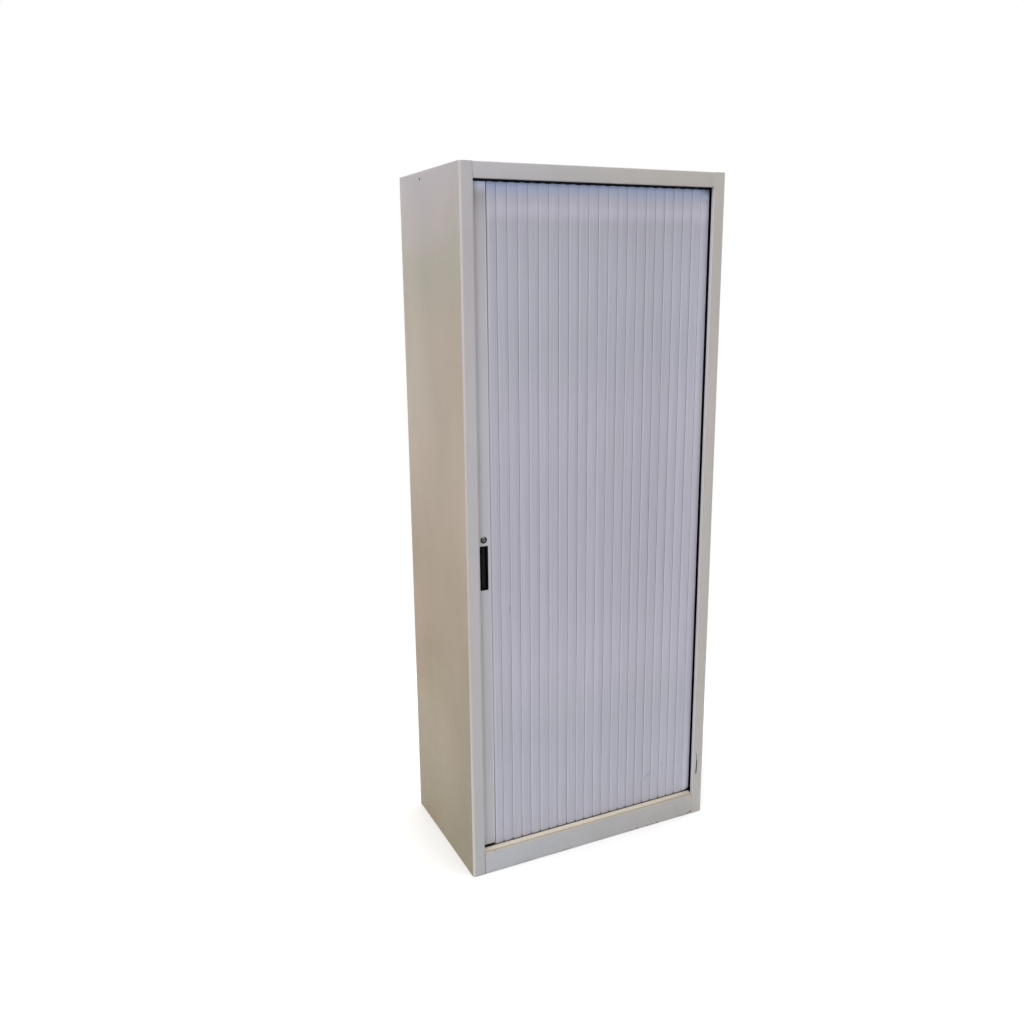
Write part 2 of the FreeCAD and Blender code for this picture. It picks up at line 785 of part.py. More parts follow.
def leading_stile():
    """Folded stile that leads the curtain, with the windows for handle and lock."""
    left, rim, back = "-stile_width", "-joint_gap / 2", "stile_back"
    inner = "stile_front + stile_skin"
    outline = [
        (left, "stile_front"),
        (rim, "stile_front"),
        (rim, inner),
        ("-knuckle", inner),
        ("-knuckle", "-bead_web / 2"),
        *bead_corners("0"),
        ("-knuckle", "bead_web / 2"),
        ("-knuckle", back),
        ("-knuckle - stile_skin", back),
        ("-knuckle - stile_skin", inner),
        (f"{left} + stile_skin", inner),
        (f"{left} + stile_skin", back),
        (left, back),
    ]
    blank = pad(new_body("stile_blank"), [outline], "stile_low", "slat_high")
    place(blank, "first_pivot", "pivot_y")
    half = "handle_width / 2 - handle_rim"
    tall = "handle_length / 2 - handle_rim"
    window = brick("handle_window", (f"handle_x - ({half})", f"handle_x + {half}"),
                   ("lock_front - gauge", "lock_front + stile_skin + gauge"),
                   (f"handle_height - ({tall})", f"handle_height + {tall}"))
    hole = rod("lock_window", "Y", "lock_body + lock_fit", "stile_skin + 2 * gauge",
               ("handle_x", "lock_front - gauge", "lock_height"))
    keep(cut("leading_stile", blank, [window, hole]))


def glide_shoes():
    """Plastic plugs in the stile's ends, with the tongues that run in the tracks."""
    left, right = "-stile_width + stile_skin + shoe_fit", "-knuckle - stile_skin - shoe_fit"
    near, far = "stile_front + stile_skin + shoe_fit", "stile_back - stile_skin"
    thick = ("-tongue_set - tongue_thick / 2", "-tongue_set + tongue_thick / 2")
    tongue = (left, f"{left} + shoe_tongue")
    low = new_body("low_shoe")
    block(low, (left, right), (near, far), ("stile_low - shoe_collar", "stile_low + shoe_plug"))
    block(low, tongue, thick, ("slat_low - tongue_reach", "stile_low"))
    high = new_body("high_shoe")
    block(high, (left, right), (near, far), ("slat_high - shoe_plug", "slat_high"))
    block(high, tongue, thick, ("slat_high", "slat_high + tongue_reach"))
    for shoe in (low, high):
        place(shoe, "first_pivot", "pivot_y")
    keep(together("Part::Compound", "glide_shoes", [low, high]))


def handle_cup():
    """Recessed finger pull: a rim on the stile and a closed cup behind it."""
    def across(inset):
        half = f"(handle_width / 2 - ({inset}))"
        return (f"handle_x - {half}", f"handle_x + {half}")

    def up(inset):
        half = f"(handle_length / 2 - ({inset}))"
        return (f"handle_height - {half}", f"handle_height + {half}")

    face = "lock_front - handle_proud"
    inset = "handle_rim + handle_fit"
    pocket = f"{inset} + handle_wall"
    cup = new_body("cup_blank")
    block(cup, across("0"), (face, "lock_front"), up("0"))
    block(cup, across(inset), (face, "lock_front + handle_depth"), up(inset))
    recess = brick("cup_recess", across(pocket),
                   (f"{face} - handle_proud", "lock_front + handle_depth - handle_wall"),
                   up(pocket))
    keep(cut("handle_cup", cup, [recess]))


# ---------------------------------------------------------------- lock, strike and buffers

def lock_housing():
    """Round housing through the stile, with a rim in front and a bore for the barrel."""
    spot = ("handle_x", "lock_front - lock_rim_thick", "lock_height")
    rim = rod("lock_rim", "Y", "lock_rim", "lock_rim_thick", spot)
    shell = rod("lock_shell", "Y", "lock_body", "lock_rim_thick + lock_length", spot)
    housing = together("Part::MultiFuse", "lock_blank", [rim, shell])
    bore = rod("lock_bore", "Y", "barrel_radius + lock_fit", "2 * (lock_rim_thick + lock_length)",
               ("handle_x", "lock_front - 2 * lock_rim_thick", "lock_height"))
    keep(cut("lock_housing", housing, [bore]))


def lock_nut():
    """Hexagon nut that holds the housing from behind the stile's skin."""
    nut = doc.addObject("Part::Prism", "nut_blank")
    nut.Polygon = 6
    nut.Placement = FreeCAD.Placement(V(), AXES["Y"])
    bind(nut, "Circumradius", "nut_radius")
    bind(nut, "Height", "nut_thick")
    place(nut, "handle_x", "lock_front + stile_skin", "lock_height")
    thread = rod("nut_bore", "Y", "lock_body + lock_fit", "3 * nut_thick",
                 ("handle_x", "lock_front + stile_skin - nut_thick", "lock_height"))
    keep(cut("lock_nut", nut, [thread]))


def lock_barrel():
    """Turning barrel with its keyway and the thread for the cam's screw."""
    face = "lock_front - lock_rim_thick + barrel_sink"
    plug = rod("barrel_blank", "Y", "barrel_radius", f"cam_front - ({face})",
               ("handle_x", face, "lock_height"))
    keyway = brick("keyway", ("handle_x - keyway_wide / 2", "handle_x + keyway_wide / 2"),
                   (f"{face} - keyway_deep", f"{face} + keyway_deep"),
                   ("lock_height - keyway_long / 2", "lock_height + keyway_long / 2"))
    tapped = rod("barrel_thread", "Y", "screw_radius", "2 * screw_length",
                 ("handle_x", "cam_front - screw_length", "lock_height"))
    keep(cut("lock_barrel", plug, [keyway, tapped]))


def lock_cam():
    """Hooked cam on the barrel's end, and its screw."""
    half = "cam_width / 2"
    tip = "lock_height - cam_reach"
    neck = f"{tip} + cam_barb"
    arm = [
        (f"handle_x - {half}", "lock_height", half, "left"),
        ("handle_x", f"lock_height + {half}", half, "left"),
        (f"handle_x + {half}", "lock_height"),
        (f"handle_x + {half}", tip),
        (f"handle_x - {half} - cam_barb", tip),
        (f"handle_x - {half} - cam_barb", neck),
        (f"handle_x - {half}", neck),
    ]
    cam = new_body("cam_blank")
    sketch = new_sketch(cam, "XZ", "-cam_front")
    draw_loop(sketch, arm)
    plate = cam.newObject("PartDesign::Pad", "cam_pad")
    plate.Profile = sketch
    plate.Reversed = True
    bind(plate, "Length", "cam_thick")
    eye = rod("cam_eye", "Y", "screw_radius", "3 * cam_thick",
              ("handle_x", "cam_front - cam_thick", "lock_height"))
    keep(cut("lock_cam", cam, [eye]))

    head = rod("screw_head", "Y", "screw_head", "screw_head_thick",
               ("handle_x", "cam_front + cam_thick", "lock_height"))
    shank = rod("screw_shank", "Y", "screw_radius - lock_fit", "screw_length + cam_thick",
                ("handle_x", "cam_front - screw_length", "lock_height"))
    keep(together("Part::MultiFuse", "cam_screw", [head, shank]))


def lock_strike():
    """Slotted channel behind the left jamb that the cam hooks into."""
    strike = new_body("strike_blank")
    front, rear = "pivot_y", "liner_y"
    rise = ("lock_height - strike_height * strike_share",
            "lock_height + strike_height * (1 - strike_share)")
    block(strike, ("-wall_x", "strike_x"), (f"{rear} - strike_plate", rear), rise)
    block(strike, ("-wall_x", "-wall_x + strike_plate"), (front, rear), rise)
    block(strike, ("strike_x - strike_plate", "strike_x"), (front, rear), rise)
    slot = brick("strike_slot", ("strike_x - 2 * strike_plate", "strike_x + strike_plate"),
                 ("cam_front - strike_catch", "cam_front + cam_thick + strike_catch"),
                 ("lock_height - strike_drop", "lock_height + cam_width / 2 + strike_catch"))
    keep(cut("lock_strike", strike, [slot]))


def door_buffers():
    """Rubber stops on the left side that the stile closes against."""
    buffers = []
    for level in ("buffer_low", "buffer_high"):
        spot = ("-wall_x", "pivot_y", level)
        base = rod("buffer_base", "X", "buffer_base", "buffer_base_thick", spot)
        nose = rod("buffer_nose", "X", "buffer_nose", "wall_x - liner_x - buffer_gap", spot)
        buffers.append(together("Part::MultiFuse", "buffer", [base, nose]))
    keep(together("Part::Compound", "door_buffers", buffers))


# ---------------------------------------------------------------- whole cabinet

def build():
    """Every sub-part of the cabinet."""
    side_panel("left_side_panel", "-")
    side_panel("right_side_panel", "")
    top_panel()
    front_plinth()
    rear_plinth()
    back_panel()
    deck("floor_panel", False)
    deck("ceiling_panel", True)
    keep(block(new_body("inner_back"), ("-wall_x", "liner_out"),
               ("inner_back_y", "inner_back_out"), ("bed_low", "bed_high")))
    tracks()
    liner("left_liner", "-", "liner_y")
    liner("right_liner", "", "front_corner_y")
    for level in range(1, SHELVES + 1):
        shelf(level)
    shelf_clips()
    curtain()
    leading_stile()
    glide_shoes()
    handle_cup()
    lock_housing()
    lock_nut()
    lock_barrel()
    lock_cam()
    lock_strike()
    door_buffers()


def check():
    """Stop unless every object is sound and every sub-part has its solids."""
    for thing in doc.Objects:
        if {"Invalid", "Error"} & set(thing.State):
            raise RuntimeError(f"{thing.Label} is {thing.State}")
    for thing in PARTS:
        if thing.Shape.isNull() or not thing.Shape.isValid() or not thing.Shape.Solids:
            raise RuntimeError(f"{thing.Label} has no sound shape")


build()
doc.recompute()
check()
os.makedirs("parts", exist_ok=True)
for part in PARTS:
    part.Shape.exportStep(f"parts/{part.Label}.step")
    box = part.Shape.BoundBox
    print(f"{part.Label:22s} solids {len(part.Shape.Solids):2d} volume {part.Shape.Volume:10.0f} "
          f"x {box.XMin:8.2f} {box.XMax:8.2f} y {box.YMin:8.2f} {box.YMax:8.2f} "
          f"z {box.ZMin:8.2f} {box.ZMax:8.2f}")
print(len(PARTS), "sub-parts")
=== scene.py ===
"""Roll front tool cabinet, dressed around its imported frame.

A painted steel cupboard whose front is a curtain of upright plastic slats. Lengths are
metres, +X is the cabinet's right, +Y its back and +Z up.
"""
from __future__ import annotations

import json
import logging
import math
from collections.abc import Callable, Iterator, Sequence
from contextlib import contextmanager
from dataclasses import dataclass, field
from enum import Enum

import bmesh
import bpy
from mathutils import Matrix, Vector

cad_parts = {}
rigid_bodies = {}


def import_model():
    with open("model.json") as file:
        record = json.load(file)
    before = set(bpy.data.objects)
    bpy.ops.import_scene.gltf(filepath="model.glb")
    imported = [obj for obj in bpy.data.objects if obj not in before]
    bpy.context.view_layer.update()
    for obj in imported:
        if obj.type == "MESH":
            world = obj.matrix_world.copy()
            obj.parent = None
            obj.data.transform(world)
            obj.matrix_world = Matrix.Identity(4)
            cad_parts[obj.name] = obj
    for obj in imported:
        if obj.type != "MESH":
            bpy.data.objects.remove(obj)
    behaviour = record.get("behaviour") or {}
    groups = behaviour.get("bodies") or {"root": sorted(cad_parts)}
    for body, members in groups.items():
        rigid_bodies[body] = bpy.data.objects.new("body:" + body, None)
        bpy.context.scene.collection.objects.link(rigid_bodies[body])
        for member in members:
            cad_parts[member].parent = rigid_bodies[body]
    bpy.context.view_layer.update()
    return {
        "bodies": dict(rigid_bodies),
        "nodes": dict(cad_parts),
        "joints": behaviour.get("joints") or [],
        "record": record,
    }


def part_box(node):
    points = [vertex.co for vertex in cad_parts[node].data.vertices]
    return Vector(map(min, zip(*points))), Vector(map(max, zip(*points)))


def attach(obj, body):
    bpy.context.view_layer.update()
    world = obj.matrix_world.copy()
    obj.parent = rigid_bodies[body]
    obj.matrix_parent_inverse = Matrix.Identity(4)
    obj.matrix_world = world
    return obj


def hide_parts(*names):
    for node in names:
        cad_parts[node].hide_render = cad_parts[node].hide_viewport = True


log = logging.getLogger("cabinet")

Piece = bpy.types.Object
Material = bpy.types.Material
Spot = tuple[float, float, float]
Colour = tuple[float, float, float]
Span = tuple[float, float]
Region = tuple[Span, Span, float | Colour]

MM = 0.001
BLACK: Colour = (0.0, 0.0, 0.0)
# Faces round every bend of the sheet steel.
BEND_FACES = 8
# Two points closer than this count as one.
NEAR = 1e-5
# A rise over this span is full at every height, because the whole cabinet stands above it.
ANY_HEIGHT: Span = (-2.0, -1.0)


class Way(Enum):
    """The six directions in which a surface can face."""

    RIGHT = (1, 0, 0)
    LEFT = (-1, 0, 0)
    BACK = (0, 1, 0)
    FRONT = (0, -1, 0)
    UP = (0, 0, 1)
    DOWN = (0, 0, -1)

    @property
    def vector(self) -> Vector:
        """The direction as a vector."""
        return Vector(self.value)


class Slot(Enum):
    """Material slots of the record."""

    STEEL = "painted_steel"
    STILE = "stile_paint"
    SLAT = "slat_plastic"
    TRACK = "track_plastic"
    HANDLE = "handle_plastic"
    RUBBER = "buffer_rubber"
    LOCK = "lock_metal"
    ZINC = "zinc_plated"


# ---------------------------------------------------------------- modelling


class Bench:
    """Hand modelling with Blender's own operators, one piece at a time."""

    @staticmethod
    def clear() -> None:
        """Leave edit mode and deselect everything."""
        if bpy.context.object and bpy.context.object.mode != "OBJECT":
            bpy.ops.object.mode_set(mode="OBJECT")
        bpy.ops.object.select_all(action="DESELECT")

    @classmethod
    def take(cls, piece: Piece) -> None:
        """Make one piece the only selected and active one.

        Args:
            piece: The piece to take.
        """
        cls.clear()
        piece.select_set(True)
        bpy.context.view_layer.objects.active = piece

    @classmethod
    @contextmanager
    def editing(cls, piece: Piece, kind: str = "FACE") -> Iterator[None]:
        """Open a piece in edit mode with nothing selected.

        Args:
            piece: The mesh to edit.
            kind: What is selected in it: VERT, EDGE or FACE.
        """
        cls.take(piece)
        bpy.ops.object.mode_set(mode="EDIT")
        bpy.ops.mesh.select_mode(type=kind)
        bpy.ops.mesh.select_all(action="DESELECT")
        yield
        bpy.ops.object.mode_set(mode="OBJECT")

    @staticmethod
    def pick_faces(piece: Piece, test: Callable[[Vector], bool]) -> None:
        """Select just the faces whose normal passes a test.

        Args:
            piece: The mesh in edit mode.
            test: Takes a face's normal and says whether the face is wanted.
        """
        mesh = bmesh.from_edit_mesh(piece.data)
        mesh.normal_update()
        for face in mesh.faces:
            face.select_set(False)
        for face in mesh.faces:
            if test(face.normal):
                face.select_set(True)
        bmesh.update_edit_mesh(piece.data)

    @staticmethod
    def pick_edges(piece: Piece, test: Callable[[Vector, Vector], bool]) -> None:
        """Select just the edges whose two ends pass a test.

        Args:
            piece: The mesh in edit mode.
            test: Takes an edge's two ends and says whether the edge is wanted.
        """
        mesh = bmesh.from_edit_mesh(piece.data)
        for edge in mesh.edges:
            edge.select_set(False)
        for edge in mesh.edges:
            if test(edge.verts[0].co, edge.verts[1].co):
                edge.select_set(True)
        bmesh.update_edit_mesh(piece.data)

    @classmethod
    def pick_line(cls, piece: Piece, start: Sequence[float], along: Vector) -> None:
        """Select just the edges that lie on a line.

        Args:
            piece: The mesh in edit mode.
            start: A point of the line.
            along: The line's direction.
        """
        start, along = Vector(start), along.normalized()

        def on_line(point: Vector) -> bool:
            """Whether a point lies on the line."""
            return (point - start).cross(along).length < NEAR

        cls.pick_edges(piece, lambda a, b: on_line(a) and on_line(b))

    @classmethod
    def settle(cls, piece: Piece) -> Piece:
        """Put the piece's place, turn and scale into its mesh.

        Args:
            piece: The piece to settle.

        Returns:
            The same piece.
        """
        cls.take(piece)
        bpy.ops.object.transform_apply(location=True, rotation=True, scale=True)
        return piece

    @classmethod
    def cube(cls, name: str, low: Sequence[float], high: Sequence[float]) -> Piece:
        """Start a piece as a block.

        Args:
            name: Name of the piece.
            low: The block's lowest corner.
            high: The opposite corner.

        Returns:
            The block.
        """
        cls.clear()
        low, high = Vector(low), Vector(high)
        bpy.ops.mesh.primitive_cube_add(size=1.0, location=(low + high) / 2)
        piece = bpy.context.object
        piece.name = name
        piece.scale = high - low
        return cls.settle(piece)

    @classmethod
    def cylinder(cls, name: str, start: Sequence[float], way: Way, radius: float, length: float,
                 sides: int = 48) -> Piece:
        """Start a piece as a round bar.

        Args:
            name: Name of the piece.
            start: The centre of the bar's first end.
            way: The direction in which the bar runs from there.
            radius: The bar's radius.
            length: The bar's length.
            sides: Faces round it.

        Returns:
            The bar.
        """
        cls.clear()
        middle = Vector(start) + way.vector * length / 2
        turn = way.vector.to_track_quat("Z", "Y").to_euler()
        bpy.ops.mesh.primitive_cylinder_add(vertices=sides, radius=radius, depth=length,
                                            location=middle, rotation=turn)
        piece = bpy.context.object
        piece.name = name
        return cls.settle(piece)

    @classmethod
    def apply(cls, piece: Piece, kind: str, **settings: object) -> Piece:
        """Add a modifier to a piece and apply it.

        Args:
            piece: The piece to change.
            kind: The modifier's type.
            settings: The modifier's own settings.

        Returns:
            The same piece.
        """
        cls.take(piece)
        modifier = piece.modifiers.new(kind.title(), kind)
        for key, value in settings.items():
            setattr(modifier, key, value)
        bpy.ops.object.modifier_apply(modifier=modifier.name)
        return piece

    @classmethod
    def merge(cls, piece: Piece, other: Piece, operation: str) -> Piece:
        """Cut a piece by another, or join them, by an exact Boolean.

        Args:
            piece: The piece to change.
            other: The piece that cuts or joins it, which is used up.
            operation: DIFFERENCE or UNION.

        Returns:
            The changed piece.
        """
        cls.apply(piece, "BOOLEAN", operation=operation, object=other, solver="EXACT")
        bpy.data.objects.remove(other, do_unlink=True)
        return piece

    @classmethod
    def join(cls, pieces: Sequence[Piece], name: str) -> Piece:
        """Make one object of several separate shells.

        Args:
            pieces: The shells, which are used up.
            name: Name of the whole.

        Returns:
            The whole.
        """
        cls.take(pieces[0])
        for piece in pieces:
            piece.select_set(True)
        bpy.ops.object.join()
        bpy.context.object.name = name
        return bpy.context.object

    @classmethod
    def soften(cls, piece: Piece, width: float, segments: int = 2, angle: float = 50.0) -> Piece:
        """Round all sharp edges a little and shade what is left of the curves smooth.

        Args:
            piece: The piece to soften.
            width: Width of the rounding.
            segments: Faces across the rounding.
            angle: The angle in degrees from which an edge is sharp.

        Returns:
            The same piece.
        """
        cls.apply(piece, "BEVEL", width=width, segments=segments, limit_method="ANGLE",
                  angle_limit=math.radians(angle), harden_normals=False, use_clamp_overlap=True)
        return cls.smooth(piece)

    @classmethod
    def smooth(cls, piece: Piece, angle: float = 28.0) -> Piece:
        """Shade a piece smooth, apart from its sharper edges.

        Args:
            piece: The piece to shade.
            angle: The angle in degrees from which an edge stays sharp.

        Returns:
            The same piece.
        """
        cls.take(piece)
        bpy.ops.object.shade_smooth_by_angle(angle=math.radians(angle))
        return piece

    @classmethod
    def copy(cls, piece: Piece, name: str, place: Matrix) -> Piece:
        """Copy a piece with its own mesh, moved inside that mesh.

        Args:
            piece: The piece to copy.
            name: Name of the copy.
            place: How the copy's mesh is moved and turned.

        Returns:
            The copy.
        """
        twin = piece.copy()
        twin.data = piece.data.copy()
        twin.name = name
        bpy.context.scene.collection.objects.link(twin)
        twin.data.transform(place)
        return twin

    @classmethod
    def fold(cls, name: str, start: Sequence[float], along: Sequence[float], steps: Sequence[Spot],
             bends: Sequence[float], gauge: float, outward: Way) -> Piece:
        """Fold a sheet: an edge is drawn out step by step and its corners are bent round.

        Args:
            name: Name of the piece.
            start: One end of the first edge, on the sheet's outer face.
            along: The first edge, from start to its other end.
            steps: How far the edge is drawn out for each face of the sheet.
            bends: Outer radius of the bend after each step but the last.
            gauge: Sheet thickness, laid inside the outer face.
            outward: The way the first face looks.

        Returns:
            The folded sheet.
        """
        cls.clear()
        start, along = Vector(start), Vector(along)
        first, *others = (Vector(step) for step in steps)
        middle = start + (along + first) / 2
        bpy.ops.mesh.primitive_plane_add(size=1.0, location=middle)
        piece = bpy.context.object
        piece.name = name
        axes = Matrix((first.normalized(), along.normalized(), first.cross(along).normalized()))
        scale = Matrix.Diagonal((first.length, along.length, 1.0, 1.0))
        piece.matrix_world = Matrix.Translation(middle) @ axes.transposed().to_4x4() @ scale
        cls.settle(piece)
        corners = [start + first]
        with cls.editing(piece, "EDGE"):
            for step in others:
                cls.pick_line(piece, corners[-1], along)
                bpy.ops.mesh.extrude_edges_move(TRANSFORM_OT_translate={"value": step})
                corners.append(corners[-1] + step)
            bpy.ops.mesh.select_all(action="SELECT")
            bpy.ops.mesh.normals_make_consistent(inside=False)
            facing = bmesh.from_edit_mesh(piece.data)
            facing.normal_update()
            face = min(facing.faces, key=lambda face: (face.calc_center_median() - middle).length)
            if face.normal.dot(outward.vector) < 0:
                bpy.ops.mesh.flip_normals()
            for corner, radius in zip(corners, bends):
                cls.pick_line(piece, corner, along)
                bpy.ops.mesh.bevel(offset=radius, offset_type="OFFSET", segments=BEND_FACES,
                                   affect="EDGES")
        cls.apply(piece, "SOLIDIFY", thickness=gauge, offset=-1.0, use_even_offset=True)
        return cls.soften(piece, gauge * 0.3)


# ---------------------------------------------------------------- shader maths


class Maths:
    """A number output of a node, used in Python expressions."""

    def __init__(self, graph: Graph, socket: bpy.types.NodeSocket) -> None:
        """Wrap one output socket of a graph."""
        self.graph = graph
        self.socket = socket

    def calc(self, operation: str, *values: object) -> Maths:
        """Add a Math node on this number and others."""
        return self.graph.add("ShaderNodeMath", dict(enumerate((self, *values))), operation=operation)

    def __add__(self, other: object) -> Maths:
        """Sum."""
        return self.calc("ADD", other)

    __radd__ = __add__

    def __mul__(self, other: object) -> Maths:
        """Product."""
        return self.calc("MULTIPLY", other)

    __rmul__ = __mul__

    def __sub__(self, other: object) -> Maths:
        """Difference."""
        return self.calc("SUBTRACT", other)

    def __rsub__(self, other: float) -> Maths:
        """Difference from a number."""
        return self * -1.0 + other

    def __truediv__(self, other: float) -> Maths:
        """Quotient."""
        return self.calc("DIVIDE", other)

    def hypot(self, other: Maths) -> Maths:
        """Length of the vector of this number and another."""
        return (self * self + other * other).calc("SQRT")

    def bulge(self, centre: float, half: float) -> Maths:
        """1 at the centre, falling to 0 at half a width either side of it."""
        return (1.0 - (self - centre).calc("ABSOLUTE") / half).calc("MAXIMUM", 0.0)

    def rise(self, low: float, high: float) -> Maths:
        """0 up to low and 1 from high; the other way round where low is the greater."""
        return self.graph.add("ShaderNodeMapRange", {"Value": self, "From Min": low, "From Max": high},
                              interpolation_type="SMOOTHSTEP")

    def fall(self, low: float, high: float) -> Maths:
        """1 up to low and 0 from high."""
        return self.rise(high, low)


class Graph:
    """The node tree of one material, with the colour that its layers build up."""

    def __init__(self, name: str, colour: Colour = BLACK) -> None:
        """Start a material with its surface shader.

        Args:
            name: Name of the material.
            colour: Its first colour, which later layers cover or shade.
        """
        self.material = bpy.data.materials.new(name)
        self.material.use_nodes = True
        self.tree = self.material.node_tree
        self.shader = self.tree.nodes["Principled BSDF"]
        self.place = self.tree.nodes.new("ShaderNodeTexCoord").outputs["Object"]
        split = self.tree.nodes.new("ShaderNodeSeparateXYZ")
        self.tree.links.new(self.place, split.inputs[0])
        self.x, self.y, self.z = (Maths(self, split.outputs[axis]) for axis in "XYZ")
        self.colour: Maths | Colour = colour

    def add(self, kind: str, inputs: dict, output: int = 0, **settings: object) -> Maths:
        """Add any node.

        Args:
            kind: The node's type.
            inputs: Values or links of its sockets, by name or number.
            output: The output to hand back.
            settings: The node's own settings, set before its sockets.

        Returns:
            The chosen output.
        """
        node = self.tree.nodes.new(kind)
        for key, value in settings.items():
            setattr(node, key, value)
        for key, value in inputs.items():
            self.feed(node.inputs[key], value)
        return Maths(self, node.outputs[output])

    def feed(self, socket: bpy.types.NodeSocket, value: object) -> None:
        """Link an output to a socket, or set the socket's value.

        Args:
            socket: The input to feed.
            value: An output, or a plain value.
        """
        if isinstance(value, Maths):
            value = value.socket
        if isinstance(value, bpy.types.NodeSocket):
            self.tree.links.new(value, socket)
        else:
            socket.default_value = value

    def noise(self, scale: float, stretch: Spot = (1, 1, 1), detail: float = 3.0) -> Maths:
        """Noise of 0 to 1 on the piece's own coordinates."""
        spread = self.add("ShaderNodeMapping", {"Vector": self.place, "Scale": stretch})
        return self.add("ShaderNodeTexNoise", {"Vector": spread, "Scale": scale, "Detail": detail})

    def mix(self, share: object, first: object, second: object, blend: str = "MIX") -> Maths:
        """Blend two colours.

        Args:
            share: How much of the second, 0 to 1.
            first: The colour where share is 0.
            second: The colour that is laid over it.
            blend: The way of blending: MIX or MULTIPLY.

        Returns:
            The blended colour.
        """
        first, second = (tone if isinstance(tone, Maths) else (*tone, 1.0) for tone in (first, second))
        inputs = {0: share, 6: first, 7: second}
        return self.add("ShaderNodeMix", inputs, 2, data_type="RGBA", blend_type=blend)

    def cover(self, share: object, tone: Maths | Colour) -> None:
        """Lay a tone over the colour by a share of 0 to 1."""
        self.colour = self.mix(share, self.colour, tone)

    def shade(self, share: object, level: float | Colour) -> None:
        """Bring the colour to a share of its brightness, or of each of its parts, where share is 1."""
        levels = level if isinstance(level, tuple) else (level,) * 3
        self.colour = self.mix(share, self.colour, levels, "MULTIPLY")

    def regions(self, along: Maths, tones: Sequence[Region]) -> None:
        """Shade the colour in regions, each with a span along one axis and a span upwards."""
        for span, up, level in tones:
            self.shade(along.rise(*span) * self.z.rise(*up), level)

    def spot(self, centre: Span, radii: Span, ragged: float = 0.5) -> Maths:
        """A soft mark on the front, with a ragged edge."""
        away = ((self.x - centre[0]) / radii[0]).hypot((self.z - centre[1]) / radii[1])
        return (away + (self.noise(700.0) - 0.5) * ragged).fall(0.4, 1.0)

    def smear(self, centre: Span, radii: Span, slant: float) -> Maths:
        """A faint scuff on the front, drawn out along a slanted line and broken up.

        Args:
            centre: Its middle, across and up.
            radii: Its half length and half width.
            slant: The line's slant in radians.

        Returns:
            The scuff's strength, 0 to 1.
        """
        across, up = self.x - centre[0], self.z - centre[1]
        along = (across * math.cos(slant) + up * math.sin(slant)) / radii[0]
        beside = (up * math.cos(slant) - across * math.sin(slant)) / radii[1]
        return along.hypot(beside).fall(0.2, 1.0) * self.noise(260.0, detail=4.0).rise(0.42, 0.58)

    def bump(self, height: Maths, distance: float, strength: float) -> None:
        """Raise the surface by a height of 0 to 1."""
        inputs = {"Height": height, "Distance": distance, "Strength": strength}
        self.feed(self.shader.inputs["Normal"], self.add("ShaderNodeBump", inputs))

    def surface(self, roughness: object, **fixed: object) -> Material:
        """Feed the shader's colour and roughness and set its constant sockets.

        Args:
            roughness: The roughness, as a value or an output.
            fixed: Values of other sockets, named in lower case with underscores.

        Returns:
            The finished material.
        """
        colour = self.colour if isinstance(self.colour, Maths) else (*self.colour, 1.0)
        self.feed(self.shader.inputs["Base Color"], colour)
        self.feed(self.shader.inputs["Roughness"], roughness)
        for name, value in fixed.items():
            self.shader.inputs[name.replace("_", " ").title().replace("Ior", "IOR")].default_value = value
        return self.material


def paint(red: float, green: float, blue: float) -> Colour:
    """Linear colour of an sRGB colour.

    Args:
        red: The red part, 0 to 255.
        green: The green part, 0 to 255.
        blue: The blue part, 0 to 255.

    Returns:
        The three linear parts, 0 to 1.
    """
    def line(part: float) -> float:
        """Linear part of one sRGB part."""
        part /= 255.0
        return part / 12.92 if part <= 0.04045 else ((part + 0.055) / 1.055) ** 2.4
    return line(red), line(green), line(blue)


def toned(colour: Colour, share: float) -> Colour:
    """A colour at a share of its brightness."""
    return tuple(part * share for part in colour)


# ---------------------------------------------------------------- finishes


@dataclass(frozen=True)
class PowderCoat:
    """Satin powder coat on sheet steel, in one tone to the left and one to the right."""

    name: str
    left: Colour
    right: Colour
    reach: float = 0.4
    roughness: float = 0.41
    mottle: float = 0.97
    # Painted shade towards the foot and towards the top; 1 is none.
    low_tone: float | Colour = 1.0
    high_tone: float = 1.0
    low: Span = (0.0, 0.95)
    high: Span = (1.25, 1.80)

    def coat(self) -> Graph:
        """Lay on the coat's two tones, its mottle and its painted shade by height.

        Returns:
            The coat's graph, ready for marks.
        """
        graph = Graph(self.name, self.left)
        graph.cover(graph.x.rise(-self.reach, self.reach), self.right)
        graph.shade(graph.noise(9.0, detail=5.0).rise(0.4, 0.7), self.mottle)
        # Painted shade: darker towards the foot and towards the top.
        graph.shade(graph.z.fall(*self.low), self.low_tone)
        graph.shade(graph.z.rise(*self.high), self.high_tone)
        return graph

    def mark(self, graph: Graph) -> None:
        """Lay a piece's own tones and marks over the coat, of which the plain one has none."""

    def build(self) -> Material:
        """Finish the coat with its marks and its orange-peel skin.

        Returns:
            The material.
        """
        graph = self.coat()
        self.mark(graph)
        graph.bump(graph.noise(900.0, detail=2.0), 0.00006, 0.35)
        return graph.surface(graph.noise(30.0) * 0.1 + self.roughness, specular_ior_level=0.35)


@dataclass(frozen=True)
class HeaderPaint(PowderCoat):
    """Top and header, with the open seam beside the left jamb and painted shade on the top face."""

    seam_x: float = -0.3632
    seam_half: float = 0.0014
    seam_up: Span = (1.930, 1.958)
    seam_share: float = 0.7
    seam: Colour = BLACK
    # The top face gets painted shade, to hold back the top lamp's light.
    top: Span = (1.9685, 1.9698)
    top_tone: float = 0.76

    def mark(self, graph: Graph) -> None:
        """Darken the top face with painted shade, and draw the seam where it opens above the curtain.

        Args:
            graph: The coat's graph.
        """
        # Painted shade on the top face.
        graph.shade(graph.z.rise(*self.top), self.top_tone)
        line = graph.x.bulge(self.seam_x, self.seam_half) * graph.z.fall(*self.seam_up)
        graph.cover(line * self.seam_share, self.seam)


